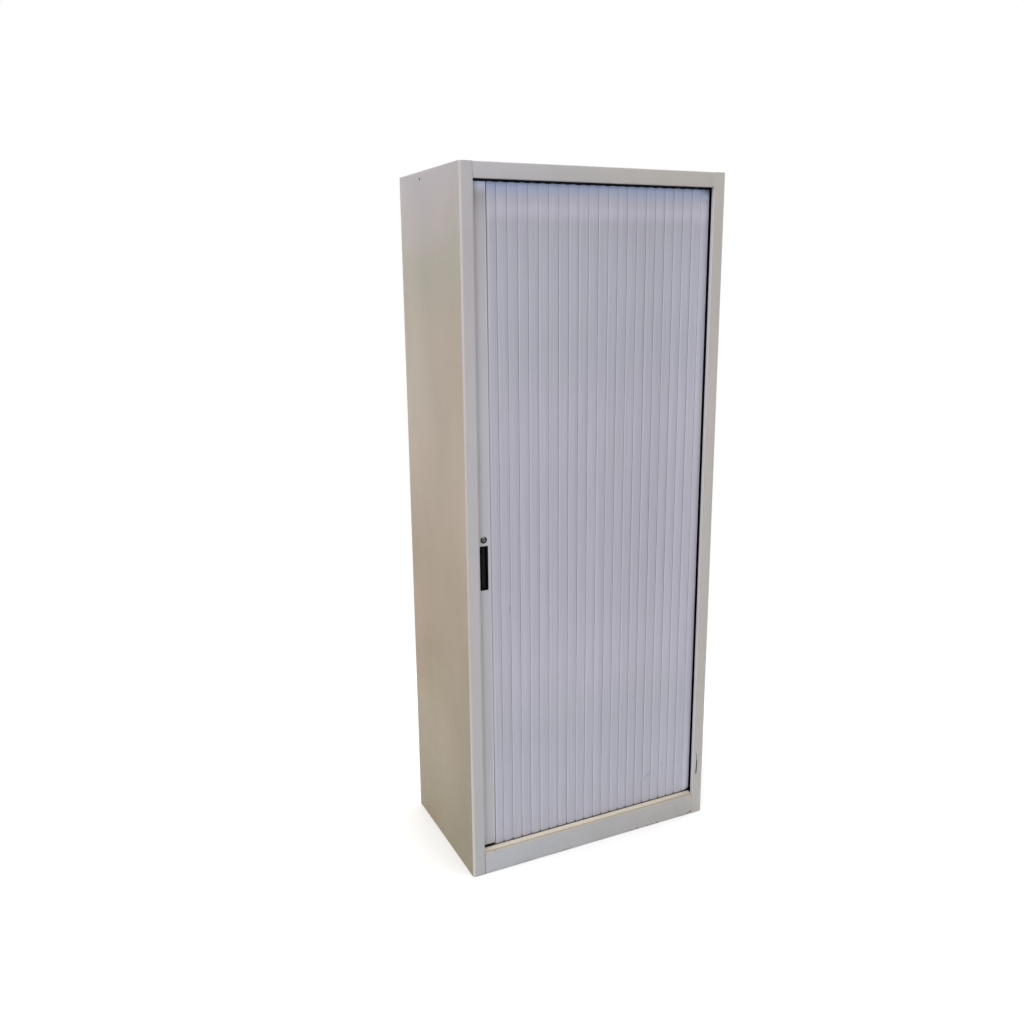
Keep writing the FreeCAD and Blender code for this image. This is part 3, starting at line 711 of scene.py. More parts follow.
@dataclass(frozen=True)
class StilePaint(PowderCoat):
    """Stile: painted light beside the jamb against its shadow, a painted highlight along the right edge and
    painted blue shade under the header.
    """

    # Painted light beside the jamb, a painted highlight on the right edge and painted blue shade under the
    # header.
    left_edge: Span = (-0.367, -0.348)
    left_tone: float = 1.25
    right_edge: Span = (-0.3245, -0.3220)
    right_tone: float = 1.14
    top: Span = (1.888, 1.925)
    blue: Colour = BLACK

    def mark(self, graph: Graph) -> None:
        """Paint the light beside the jamb, the highlight on the right edge and the blue shade at the top.

        Args:
            graph: The coat's graph.
        """
        # Painted light and painted highlight on the edges, painted blue shade at the top.
        graph.cover(graph.x.fall(*self.left_edge), toned(self.left, self.left_tone))
        graph.cover(graph.x.rise(*self.right_edge) * 0.8, toned(self.left, self.right_tone))
        graph.cover(graph.z.rise(*self.top), self.blue)


@dataclass(frozen=True)
class SidePaint(PowderCoat):
    """Side panel: jamb in the front colour, wall in painted warm light that yellows and darkens downwards,
    and a painted highlight on the bend.

    Sizes whose names end in _in are measured inwards from the outer face, and those whose names
    end in _back from the front. A fold_in is a centre and a half width, as bulge takes them, and
    places a painted shade line at the lip's fold. Each of the scratches is its place and slope, then
    its half width, half height and strength.
    """

    # The wall's colours by height from the foot up: painted warm light, yellower and darker towards the foot.
    wall: tuple[tuple[float, Colour], ...] = ()
    drift: float = 0.25
    patchy: float = 0.965
    # Painted light and shade on regions of the wall.
    tones: tuple[Region, ...] = ()
    # Painted highlight along the front bend.
    painted_highlight: Colour = BLACK
    # Painted shade: near black on the inner face behind the opening.
    inner: Colour = BLACK
    # Colour of the scratches, and of the painted shade round the tie hole.
    scratch_and_hole_shade: Colour = BLACK
    # The lip's lighter colour is painted light, where it faces the lamps.
    lip: Colour = BLACK
    front_y: float = -0.225
    outer_x: float = 0.4
    tie: Span = (0.055, 1.951)
    tie_ring: Span = (0.0030, 0.0045)
    scratches: tuple[tuple[Spot, Spot], ...] = ()
    wall_in: Span = (0.0060, 0.0100)
    wall_back: Span = (0.0035, 0.0065)
    bend_in: Span = (0.0040, 0.0090)
    bend_back: Span = (0.0025, 0.0060)
    lip_in: Span = (0.0350, 0.0358)
    lip_back: Span = (0.0115, 0.0125)
    fold_in: Span = (0.0338, 0.0014)
    fold_back: Span = (0.0008, 0.0020)
    hidden_in: Span = (0.0004, 0.0008)
    hidden_back: Span = (0.0125, 0.0135)

    def mark(self, graph: Graph) -> None:
        """Paint the wall, the scratches, and the painted highlight, light and shade on the bend, lip, fold
        and inner face.

        Args:
            graph: The coat's graph.
        """
        inward = self.outer_x - graph.x.calc("ABSOLUTE")
        behind = graph.y - self.front_y
        jamb = graph.colour
        self.paint_wall(graph)
        outer = inward.fall(*self.wall_in) * behind.rise(*self.wall_back)
        graph.colour = graph.mix(outer, jamb, graph.colour)
        bend = behind.fall(*self.bend_back) * inward.fall(*self.bend_in)
        # Painted highlight along the bend, broken up.
        graph.cover(bend * (graph.noise(14.0, (1, 1, 0.3)) * 0.5 + 0.5), self.painted_highlight)
        for (x, z, slope), (half, tall, weight) in self.scratches:
            ragged = (graph.noise(150.0) - 0.5) * 0.0016
            line = (graph.x - x - (graph.z - z) * slope + ragged).bulge(0.0, half).rise(0.05, 0.5)
            line = line * graph.z.bulge(z, tall).rise(0.0, 0.2) * behind.fall(0.001, 0.002)
            graph.cover(line * weight, self.scratch_and_hole_shade)
        # The lip in its lighter painted light.
        graph.cover(inward.rise(*self.lip_in) * behind.fall(*self.lip_back) * 0.95, self.lip)
        # A painted shade line along the lip's fold.
        fold = inward.bulge(*self.fold_in) * behind.fall(*self.fold_back)
        graph.cover(fold * 0.6, toned(self.right, 0.6))
        # Painted shade on the hidden inner face.
        graph.cover(inward.rise(*self.hidden_in) * behind.rise(*self.hidden_back), self.inner)

    def paint_wall(self, graph: Graph) -> None:
        """Blend the wall's painted light by a height that drifts, then add patches, painted light and shade
        by region and painted shade round the tie hole.

        Args:
            graph: The coat's graph.
        """
        height = graph.z + (graph.noise(2.5, detail=4.0) - 0.5) * self.drift
        # The wall's painted warm light, blended from the foot up.
        graph.colour = self.wall[0][1]
        for (low, _), (high, tone) in zip(self.wall, self.wall[1:]):
            graph.cover(height.rise(low, high), tone)
        graph.shade(graph.noise(11.0, (1, 1, 0.7), 5.0).rise(0.42, 0.68), self.patchy)
        # Painted light and shade on regions of the wall.
        graph.regions(graph.y, self.tones)
        # Painted shade in a ring round the tie hole.
        hole = (graph.y - self.tie[0]).hypot(graph.z - self.tie[1])
        graph.cover(hole.fall(*self.tie_ring) * 0.6, self.scratch_and_hole_shade)


@dataclass(frozen=True)
class SillPaint(PowderCoat):
    """Plinth: grey face, and a sill whose top is painted cream as painted light, behind its worn and stained
    front edge.

    Sizes whose names end in _up are heights, and those whose names end in _back are measured
    from the front.
    """

    # The sill's top in cream: painted light where it faces up.
    sill: Colour = BLACK
    worn: Colour = BLACK
    stain: Colour = BLACK
    seam: Colour = BLACK
    front_y: float = -0.225
    sill_up: Span = (0.0650, 0.0668)
    worn_back: Span = (0.0060, 0.0105)
    rub_up: Span = (0.060, 0.065)
    splash_up: Span = (0.0, 0.009)
    cloudy: Colour = (0.90, 0.93, 0.93)
    seam_x: Span = (0.3614, 0.3626)
    edge_back: Span = (0.0020, 0.0045)
    stains: tuple[tuple[Span, Span], ...] = ()

    def mark(self, graph: Graph) -> None:
        """Lay on the sill's cream painted light, its worn edge, the seams at both ends and the dirt.

        Args:
            graph: The coat's graph.
        """
        face = graph.colour
        behind = graph.y - self.front_y + (graph.noise(70.0, detail=4.0) - 0.5) * 0.006
        on_top = graph.z.rise(*self.sill_up)
        dust = graph.noise(28.0, detail=6.0).rise(0.5, 0.8)
        sill = graph.mix(dust * 0.3, self.sill, self.worn)
        # The grey face, and on top the sill's cream painted light behind its worn edge.
        graph.colour = graph.mix(on_top, face, graph.mix(behind.rise(*self.worn_back), self.worn, sill))
        rub = graph.z.rise(*self.rub_up) * (1.0 - on_top)
        graph.cover(rub * graph.noise(45.0, detail=4.0).rise(0.35, 0.7) * 0.8, self.worn)
        splash = graph.z.fall(*self.splash_up) * graph.noise(35.0, (1, 1, 2), 5.0).rise(0.48, 0.68)
        graph.cover(splash * 0.7, self.stain)
        graph.shade(graph.noise(60.0, detail=6.0).rise(0.45, 0.75) * 0.6, self.cloudy)
        seam = graph.x.calc("ABSOLUTE").rise(*self.seam_x) * (1.0 - on_top)
        graph.cover(seam * (graph.x.fall(-0.1, 0.1) * 0.4 + 0.4), self.seam)
        edge = behind.fall(*self.edge_back)
        for centre, radii in self.stains:
            graph.cover(graph.spot(centre, radii) * edge * 0.85, self.stain)


@dataclass(frozen=True)
class SlatPlastic:
    """Satin extruded plastic with fine draw lines, painted light and shade by height and across, and painted
    blue shade under the header.

    Sizes across a slat are measured from its left pivot, and first is where the stile ends. A
    glow and a first_light are a centre and a half width, as bulge takes them. A mark is its place
    and strength, then its half length, half width and slant.
    """

    name: str
    face: Colour
    top: Colour
    grime_and_shade: Colour
    start: float
    pitch: float
    low: float
    high: float
    first: float = -0.320
    drawn: Spot = (1, 1, 0.006)
    # Depth of the painted blue shade under the header.
    blue_band: float = 0.05
    wave: float = 0.02
    # Painted light and shade in bands by height, and in regions across the curtain.
    levels: tuple[tuple[Span, float | Colour], ...] = ()
    tones: tuple[Region, ...] = ()
    # A painted highlight beside each joint.
    glow: Span = (0.0026, 0.0020)
    joint: Span = (0.0005, 0.0013)
    foot: Span = (0.0010, 0.0030)
    foot_rise: float = 0.007
    fine_line: float = 0.006
    fine_half: float = 0.0009
    # A painted shadow and a painted highlight beside the stile.
    first_dark: Span = (0.0030, 0.0042)
    first_light: Span = (0.0075, 0.0030)
    upper: Span = (1.3, 1.8)
    lower: Span = (0.15, 0.5)
    marks: tuple[tuple[Spot, Spot], ...] = ()

    def build(self) -> Material:
        """Draw the plastic's streaks, its painted light and shade, its joints and its marks.

        Returns:
            The material.
        """
        graph = Graph(self.name, self.face)
        share = ((graph.x - self.start) / self.pitch).calc("FRACT")
        along = share * self.pitch
        graph.cover(share, toned(self.face, 0.955))
        fine = graph.noise(480.0, self.drawn, 2.0)
        graph.cover(graph.noise(150.0, self.drawn).rise(0.35, 0.65) * 0.6, toned(self.face, 0.91))
        graph.shade(fine.rise(0.4, 0.7) * 0.8, 1.12)
        cloud = graph.noise(3.0, (1, 1, 0.4), 4.0)
        graph.cover(cloud.rise(0.35, 0.8) * 0.3, toned(self.face, 0.95))
        # Painted light and shade in bands by height.
        for (middle, half), level in self.levels:
            graph.shade(graph.z.bulge(middle, half).rise(0.0, 0.8), level)
        # Painted light towards the right end, and a painted highlight at its top corner.
        graph.regions(graph.x, self.tones)
        # Painted blue shade under the header.
        height = graph.z + (graph.noise(6.0) - 0.5) * self.wave
        graph.cover(height.rise(self.high - self.blue_band, self.high), self.top)
        self.line_joints(graph, along)
        for (x, z, weight), (wide, tall, slant) in self.marks:
            graph.cover(graph.smear((x, z), (wide, tall), slant) * weight, self.grime_and_shade)
        graph.bump(fine, 0.00005, 0.25)
        return graph.surface(cloud * 0.12 + 0.38, specular_ior_level=0.35)

    def line_joints(self, graph: Graph, along: Maths) -> None:
        """Draw a painted highlight beside each joint, dirt and painted shade in it, darker feet and fine
        lines, and a painted shadow and a painted highlight beside the stile.

        Args:
            graph: The slats' graph.
            along: The place across each slat, from its left pivot.
        """
        fade = graph.noise(50.0, (1, 1, 0.03)).rise(0.3, 0.7)
        right, high = graph.x.rise(0.05, 0.3), graph.z.rise(*self.upper)
        # Painted highlight just right of each joint, weaker to the right and higher up.
        sheen = fade * 0.3 - high * 0.12 - right * 0.10 + 0.38
        graph.cover(along.bulge(*self.glow).rise(0.0, 0.8) * sheen, toned(self.face, 1.22))
        # Dirt and painted shade in each joint, more to the right.
        near = along.calc("MINIMUM", self.pitch - along)
        dirt_and_shade = fade * 0.26 + graph.x.rise(0.0, 0.3) * 0.18 + 0.02
        graph.cover(near.fall(*self.joint) * dirt_and_shade, self.grime_and_shade)
        # Darker at the joints' feet and along the fine line.
        foot = graph.z.fall(self.low, self.low + self.foot_rise) * near.fall(*self.foot)
        line = along.bulge(self.pitch - self.fine_line, self.fine_half) * 0.30
        graph.cover(foot.calc("MAXIMUM", line * fade), self.grime_and_shade)
        # Painted shadow beside the stile's proud edge, then a painted highlight.
        beside = graph.x - self.first
        ends = high.calc("MAXIMUM", graph.z.fall(*self.lower))
        graph.cover(beside.fall(*self.first_dark) * (ends * 0.45 + 0.45), self.grime_and_shade)
        graph.cover(beside.bulge(*self.first_light) * 0.6, toned(self.face, 1.16))


@dataclass(frozen=True)
class Moulding:
    """Dark moulded plastic or rubber with a fine grain."""

    name: str
    colour: Colour
    roughness: float = 0.55
    grain: float = 0.00008
    shine: float = 0.25

    def mark(self, graph: Graph) -> None:
        """Dust the moulding."""
        dust = graph.noise(40.0, detail=5.0).rise(0.5, 0.85)
        graph.cover(dust * 0.4, tuple(part + 0.01 for part in self.colour))

    def build(self) -> Material:
        """Finish the moulding with its marks and its grain.

        Returns:
            The material.
        """
        graph = Graph(self.name, self.colour)
        self.mark(graph)
        pits = graph.noise(1600.0, detail=1.0)
        graph.bump(pits, self.grain, 0.5)
        return graph.surface(pits * 0.1 + self.roughness, specular_ior_level=self.shine)


@dataclass(frozen=True)
class CupPlastic(Moulding):
    """The finger pull's plastic, with a lighter strip on the floor of its pocket as painted highlight."""

    # Lighter strip on the pocket's floor: painted highlight.
    floor: Colour = BLACK
    floor_y: Span = (-0.1935, -0.1915)
    strip: Span = (-0.338, 0.0065)

    def mark(self, graph: Graph) -> None:
        """Paint the lighter strip of painted highlight along the middle of the pocket's floor."""
        strip = graph.x.bulge(*self.strip).rise(0.0, 0.6)
        graph.cover(graph.y.rise(*self.floor_y) * strip, self.floor)


@dataclass(frozen=True)
class Plate:
    """Plated metal, dulled and brushed by use."""

    name: str
    colour: Colour
    roughness: float = 0.28
    tarnish: Colour = (0.12, 0.11, 0.10)
    # A painted highlight, laid in spots.
    painted_highlight: Colour = BLACK
    highlight_spots: tuple[tuple[Span, Span], ...] = ()

    def build(self) -> Material:
        """Plate the metal, with its stains, its brushing and its painted highlight spots.

        Returns:
            The material.
        """
        graph = Graph(self.name, self.colour)
        stain = graph.noise(180.0, detail=5.0).rise(0.52, 0.75)
        brush = graph.noise(900.0, (1, 1, 0.05), 2.0)
        graph.bump(brush, 0.00003, 0.3)
        graph.cover(stain * 0.5, self.tarnish)
        # Painted highlight spots.
        for centre, radii in self.highlight_spots:
            graph.cover(graph.spot(centre, radii, 0.2), self.painted_highlight)
        return graph.surface(stain * 0.2 + brush * 0.08 + self.roughness, metallic=1.0)


class Palette:
    """Every finish of the cabinet, made once."""

    def __init__(self) -> None:
        """Mix the finishes."""
        self.steel = PowderCoat("inner_powder_coat", paint(176, 172, 168), paint(174, 170, 165)).build()
        self.header = HeaderPaint("header_powder_coat", paint(173, 171, 176), paint(182, 177, 171),
                                  seam=paint(70, 68, 72)).build()
        self.side = self.side_coat()
        self.sill = self.sill_coat()
        stile = paint(178, 177, 183)
        # The stile with painted shade towards the foot and the top, and painted blue shade under the header.
        self.stile = StilePaint("stile_powder_coat", stile, stile, low_tone=(0.84, 0.84, 0.82),
                                high_tone=0.88, low=(0.3, 0.95), blue=paint(194, 199, 224)).build()
        self.slat = self.slat_plastic()
        self.track = Moulding("track_black_plastic", paint(12, 12, 15)).build()
        # The pull, with a lighter floor strip of painted highlight.
        self.handle = CupPlastic("handle_black_plastic", paint(7, 6, 10), 0.6, shine=0.08,
                                 floor=paint(37, 35, 42)).build()
        self.rubber = Moulding("buffer_black_rubber", paint(30, 30, 30), 0.75).build()
        # The lock's ring, with a painted highlight at its top.
        self.lock = Plate("lock_dulled_nickel", paint(54, 51, 50), painted_highlight=paint(205, 202, 202),
                          highlight_spots=(((-0.3418, 1.0080), (0.0050, 0.0046)),)).build()
        self.barrel = Plate("barrel_worn_nickel", paint(150, 144, 138), 0.36).build()
        self.zinc = Plate("bright_zinc", paint(196, 196, 192), 0.34).build()

    def side_coat(self) -> Material:
        """Mix the sides' coat, with the wall's tones from the foot up.

        Returns:
            The material.
        """
        return SidePaint(
            "side_powder_coat", paint(178, 175, 179), paint(186, 180, 176),
            # Painted shade on the jamb towards the foot and the top.
            low_tone=(0.745, 0.770, 0.765), high_tone=0.845,
            # The wall's colours by height from the foot up: painted warm light, yellower and darker towards
            # the foot.
            wall=((0.05, paint(136, 126, 102)), (0.42, paint(150, 136, 112)), (0.80, paint(173, 158, 141)),
                  (1.10, paint(179, 166, 151)), (1.50, paint(176, 165, 151)), (1.73, paint(169, 163, 151)),
                  (1.84, paint(175, 168, 165)), (1.95, paint(177, 171, 175))),
            # Painted light and shade on regions of the wall: a span back, a span up and a level each.
            tones=(((0.05, -0.21), (0.90, 0.50), 0.85), ((0.04, 0.20), (1.30, 1.70), (0.89, 0.88, 0.87)),
                   ((-0.05, -0.20), (1.20, 1.50), (0.95, 0.94, 0.93)),
                   ((-0.10, 0.15), (0.42, 0.10), (0.93, 0.87, 0.81)),
                   ((0.05, 0.20), (0.30, 0.50), (1.18, 1.15, 1.19)),
                   ((0.05, 0.20), (0.62, 0.90), (0.86, 0.88, 0.85))),
            # A painted highlight on the bend, the lip's painted light and painted shade on the inner face.
            painted_highlight=paint(178, 172, 168), lip=paint(195, 194, 197), inner=paint(16, 15, 15),
            # Colour of the scratches and of the painted shade round the tie hole.
            scratch_and_hole_shade=paint(26, 24, 24),
            scratches=(((0.3760, 0.190, 0.01), (0.0014, 0.020, 0.9)),
                       ((0.3762, 0.160, 0.045), (0.0032, 0.025, 1.0))),
        ).build()

    def sill_coat(self) -> Material:
        """Mix the plinth's coat, each of its stains with a place and two radii.

        Returns:
            The material.
        """
        return SillPaint(
            "plinth_powder_coat", paint(157, 159, 164), paint(159, 156, 154),
            # The sill's cream is painted light; worn and stain are real wear.
            sill=paint(215, 206, 193), worn=paint(172, 162, 147), stain=paint(112, 92, 82),
            seam=paint(98, 92, 90),
            stains=(((-0.0845, 0.013), (0.0026, 0.0026)), ((0.3585, 0.007), (0.0060, 0.0065)),
                    ((0.3490, 0.005), (0.0045, 0.0050)), ((0.2300, 0.003), (0.0060, 0.0045)),
                    ((0.1560, 0.003), (0.0070, 0.0040)), ((0.1950, 0.002), (0.0080, 0.0035)),
                    ((-0.3620, 0.064), (0.0035, 0.0035)), ((-0.3625, 0.004), (0.0030, 0.0050)),
                    ((-0.3319, 0.067), (0.0020, 0.0020)), ((0.3628, 0.062), (0.0020, 0.0060))),
        ).build()

    def slat_plastic(self) -> Material:
        """Mix the slats' plastic, laid out on the slats' own pitch and height.

        Returns:
            The material.
        """
        start, pitch, low, high = Curtain.layout()
        return SlatPlastic(
            # Face, painted blue shade under the header, and grime with painted shade.
            "slat_satin_plastic", paint(173, 172, 184), paint(170, 181, 212), paint(88, 86, 94),
            start=start, pitch=pitch, low=low, high=high,
            # Painted light and shade by height and across; the last region is a painted highlight at the top
            # right corner.
            levels=(((1.62, 0.36), (0.905, 0.92, 0.92)), ((1.88, 0.06), 1.25),
                    ((0.28, 0.36), (0.870, 0.89, 0.89)), ((0.06, 0.07), 1.08)),
            tones=(((0.170, 0.290), ANY_HEIGHT, 1.075), ((0.325, 0.366), ANY_HEIGHT, 1.56),
                   ((0.325, 0.366), (0.7, 0.1), 1.26),
                   ((0.335, 0.362), (high - 0.030, high - 0.011), (1.72, 2.20, 2.00))),
            marks=(((0.211, 0.161, 0.5), (0.022, 0.008, 0.75)), ((0.200, 0.150, 0.4), (0.012, 0.005, 1.2)),
                   ((0.262, 0.185, 0.4), (0.010, 0.005, 0.9)), ((0.149, 0.438, 0.4), (0.008, 0.004, 1.2)),
                   ((-0.2626, 0.792, 0.45), (0.018, 0.003, 1.57))),
        ).build()


class Dresser:
    """Gives pieces their finish, body and the nodes they stand for."""

    def __init__(self, frame: dict) -> None:
        """Hold the frame whose nodes are dressed."""
        self.frame = frame

    def new(self, piece: Piece, finish: Material, body: str, slot: Slot, *nodes: str) -> None:
        """Finish a modelled piece and let it ride and stand for its nodes.

        Args:
            piece: The modelled piece.
            finish: Its material.
            body: The body that it moves with.
            slot: Its material slot in the record; not used.
            nodes: The nodes of the frame that it stands for.
        """
        piece.data.materials.clear()
        piece.data.materials.append(finish)
        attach(piece, body)
        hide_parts(*nodes)
        log.info("%s rides on %s, %d faces", piece.name, body, len(piece.data.polygons))

    def node(self, name: str, finish: Material) -> None:
        """Give a node of the frame a better finish.

        Args:
            name: The node.
            finish: Its material.
        """
        mesh = self.frame["nodes"][name].data
        if not mesh.materials:
            mesh.materials.append(finish)
        for place in range(len(mesh.materials)):
            mesh.materials[place] = finish
        log.info("%s keeps its shape", name)


# ---------------------------------------------------------------- sub-assemblies


@dataclass
class Carcass:
    """Outer steel: sides, top with header, plinths, back and the rivets.

    Bends and folds are outer radii, edges are the widths of small roundings, and the tie is the
    hole near the top of each side by which cabinets are joined.
    """

    dresser: Dresser
    palette: Palette
    gauge: float = 1.0 * MM
    bend: float = 5.0 * MM
    fold: float = 1.8 * MM
    header_fold: float = 2.52 * MM
    sill_fold: float = 2.4 * MM
    lip_bend: float = 0.8 * MM
    lip: float = 12.0 * MM
    header: float = 40.0 * MM
    rear_flange: float = 20.0 * MM
    hem: float = 14.0 * MM
    corner_edge: float = 0.2 * MM
    back_edge: float = 0.3 * MM
    tie_back: float = 280.0 * MM
    tie_drop: float = 19.0 * MM
    tie_radius: float = 3.0 * MM
    rivet_radius: float = 4.0 * MM
    rivet_sunk: float = 0.1 * MM
    rivet_dimple: float = 0.3 * MM
    rivet_rows: int = 7

    def build(self) -> None:
        """Model and dress the outer steel."""
        self.side("left_side_panel", -1.0)
        self.side("right_side_panel", 1.0)
        self.top()
        self.plinth()
        self.back()
        self.rivets()
        for name in ("rear_plinth", "floor_panel", "ceiling_panel", "inner_back", "left_liner",
                     "right_liner"):
            self.dresser.node(name, self.palette.steel)

    def side(self, name: str, sign: float) -> None:
        """Fold one side panel from its return lip round to the rear flange, and drill it.

        Args:
            name: The panel's node.
            sign: -1 for the left side and 1 for the right.
        """
        low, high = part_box(name)
        outer, inner = (high.x, low.x) if sign > 0 else (low.x, high.x)
        outwards, inwards = (Way.RIGHT, Way.LEFT) if sign > 0 else (Way.LEFT, Way.RIGHT)
        steps = ((0, -self.lip, 0), (outer - inner, 0, 0), (0, high.y - low.y, 0),
                 (-sign * self.rear_flange, 0, 0))
        panel = Bench.fold(name + "_shell", (inner, low.y + self.lip, low.z), (0, 0, high.z - low.z),
                           steps, (self.lip_bend, self.bend, self.fold), self.gauge, inwards)
        start = (outer - sign * 3 * self.gauge, low.y + self.tie_back, high.z - self.tie_drop)
        drill = Bench.cylinder("drill", start, outwards, self.tie_radius, 6 * self.gauge, 32)
        Bench.merge(panel, drill, "DIFFERENCE")
        Bench.smooth(panel)
        self.dresser.new(panel, self.palette.side, "cabinet", Slot.STEEL, name)

    def top(self) -> None:
        """Fold the header and top in one sheet, and add the hems and corners over the sides."""
        low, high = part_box("top_panel")
        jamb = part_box("left_side_panel")[1].x
        steps = ((0, -self.lip, 0), (0, 0, self.header), (0, high.y - low.y, 0), (0, 0, -self.hem))
        shells = [Bench.fold("header_and_top", (jamb, low.y + self.lip, high.z - self.header),
                             (-2 * jamb, 0, 0), steps, (self.fold, self.header_fold, self.fold),
                             self.gauge, Way.DOWN)]
        front = low.y + self.lip + self.gauge
        for sign in (-1.0, 1.0):
            shells.append(Bench.fold("top_hem", (sign * -jamb, front, high.z), (0, high.y - front, 0),
                                     ((sign * (high.x + jamb), 0, 0), (0, 0, -self.hem)),
                                     (self.fold,), self.gauge, Way.UP))
            left, right = sorted((sign * (self.gauge - jamb), sign * high.x))
            corner = Bench.cube("top_corner", (left, low.y + self.gauge, high.z - self.gauge),
                                (right, front, high.z))
            with Bench.editing(corner, "EDGE"):
                Bench.pick_line(corner, (sign * high.x, low.y + self.gauge, 0), Way.UP.vector)
                bpy.ops.mesh.bevel(offset=self.bend - self.gauge, segments=BEND_FACES, affect="EDGES")
            shells.append(Bench.soften(corner, self.corner_edge))
        top = Bench.join(shells, "header_and_top")
        self.dresser.new(top, self.palette.header, "cabinet", Slot.STEEL, "top_panel")

    def plinth(self) -> None:
        """Fold the plinth: foot, face, sill and the flange before the track."""
        low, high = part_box("front_plinth")
        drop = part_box("lower_front_track")[0].z - high.z
        steps = ((0, -self.lip, 0), (0, 0, high.z - low.z), (0, high.y - low.y, 0), (0, 0, drop))
        sheet = Bench.fold("plinth_and_sill", (low.x, low.y + self.lip, low.z), (high.x - low.x, 0, 0),
                           steps, (self.fold, self.sill_fold, self.fold), self.gauge, Way.DOWN)
        self.dresser.new(sheet, self.palette.sill, "cabinet", Slot.STEEL, "front_plinth")

    def back(self) -> None:
        """Cut the flat back panel."""
        panel = Bench.soften(Bench.cube("back_sheet", *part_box("back_panel")), self.back_edge)
        self.dresser.new(panel, self.palette.steel, "cabinet", Slot.STEEL, "back_panel")

    def rivets(self) -> None:
        """Turn one rivet's head and set its copies in the back panel."""
        start = Vector((0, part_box("back_panel")[1].y - self.rivet_sunk, 0))
        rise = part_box("back_panel_rivets")[1].y - start.y
        head = Bench.cylinder("rivet", start, Way.BACK, self.rivet_radius, rise, 24)
        with Bench.editing(head):
            Bench.pick_faces(head, lambda normal: normal.y > 0.9)
            bpy.ops.mesh.bevel(offset=rise * 0.7, segments=4, affect="EDGES")
            Bench.pick_faces(head, lambda normal: normal.y > 0.99)
            bpy.ops.mesh.inset(thickness=self.rivet_radius * 0.25, depth=-self.rivet_dimple)
        Bench.smooth(head, 40.0)
        heads = [Bench.copy(head, "rivet", Matrix.Translation(spot)) for spot in self.rivet_spots()]
        bpy.data.objects.remove(head, do_unlink=True)
        rivets = Bench.join(heads, "rivet_heads")
        self.dresser.new(rivets, self.palette.zinc, "cabinet", Slot.ZINC, "back_panel_rivets")

    def rivet_spots(self) -> list[Vector]:
        """Space the rivets: a column up each side, and three each along bottom and top.

        Returns:
            How far each rivet is moved from the middle of the floor.
        """
        low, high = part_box("back_panel_rivets")
        left, right = low.x + self.rivet_radius, high.x - self.rivet_radius
        bottom, top = low.z + self.rivet_radius, high.z - self.rivet_radius
        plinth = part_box("front_plinth")[1].z
        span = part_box("left_side_panel")[1].z - 2 * plinth
        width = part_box("right_side_panel")[1].x
        heights = [plinth + span * step / (self.rivet_rows - 1) for step in range(self.rivet_rows)]
        columns = [Vector((x, 0, z)) for z in heights for x in (left, right)]
        rows = [Vector((width * step * 2 / 3, 0, z)) for step in (-1, 0, 1) for z in (bottom, top)]
        return columns + rows


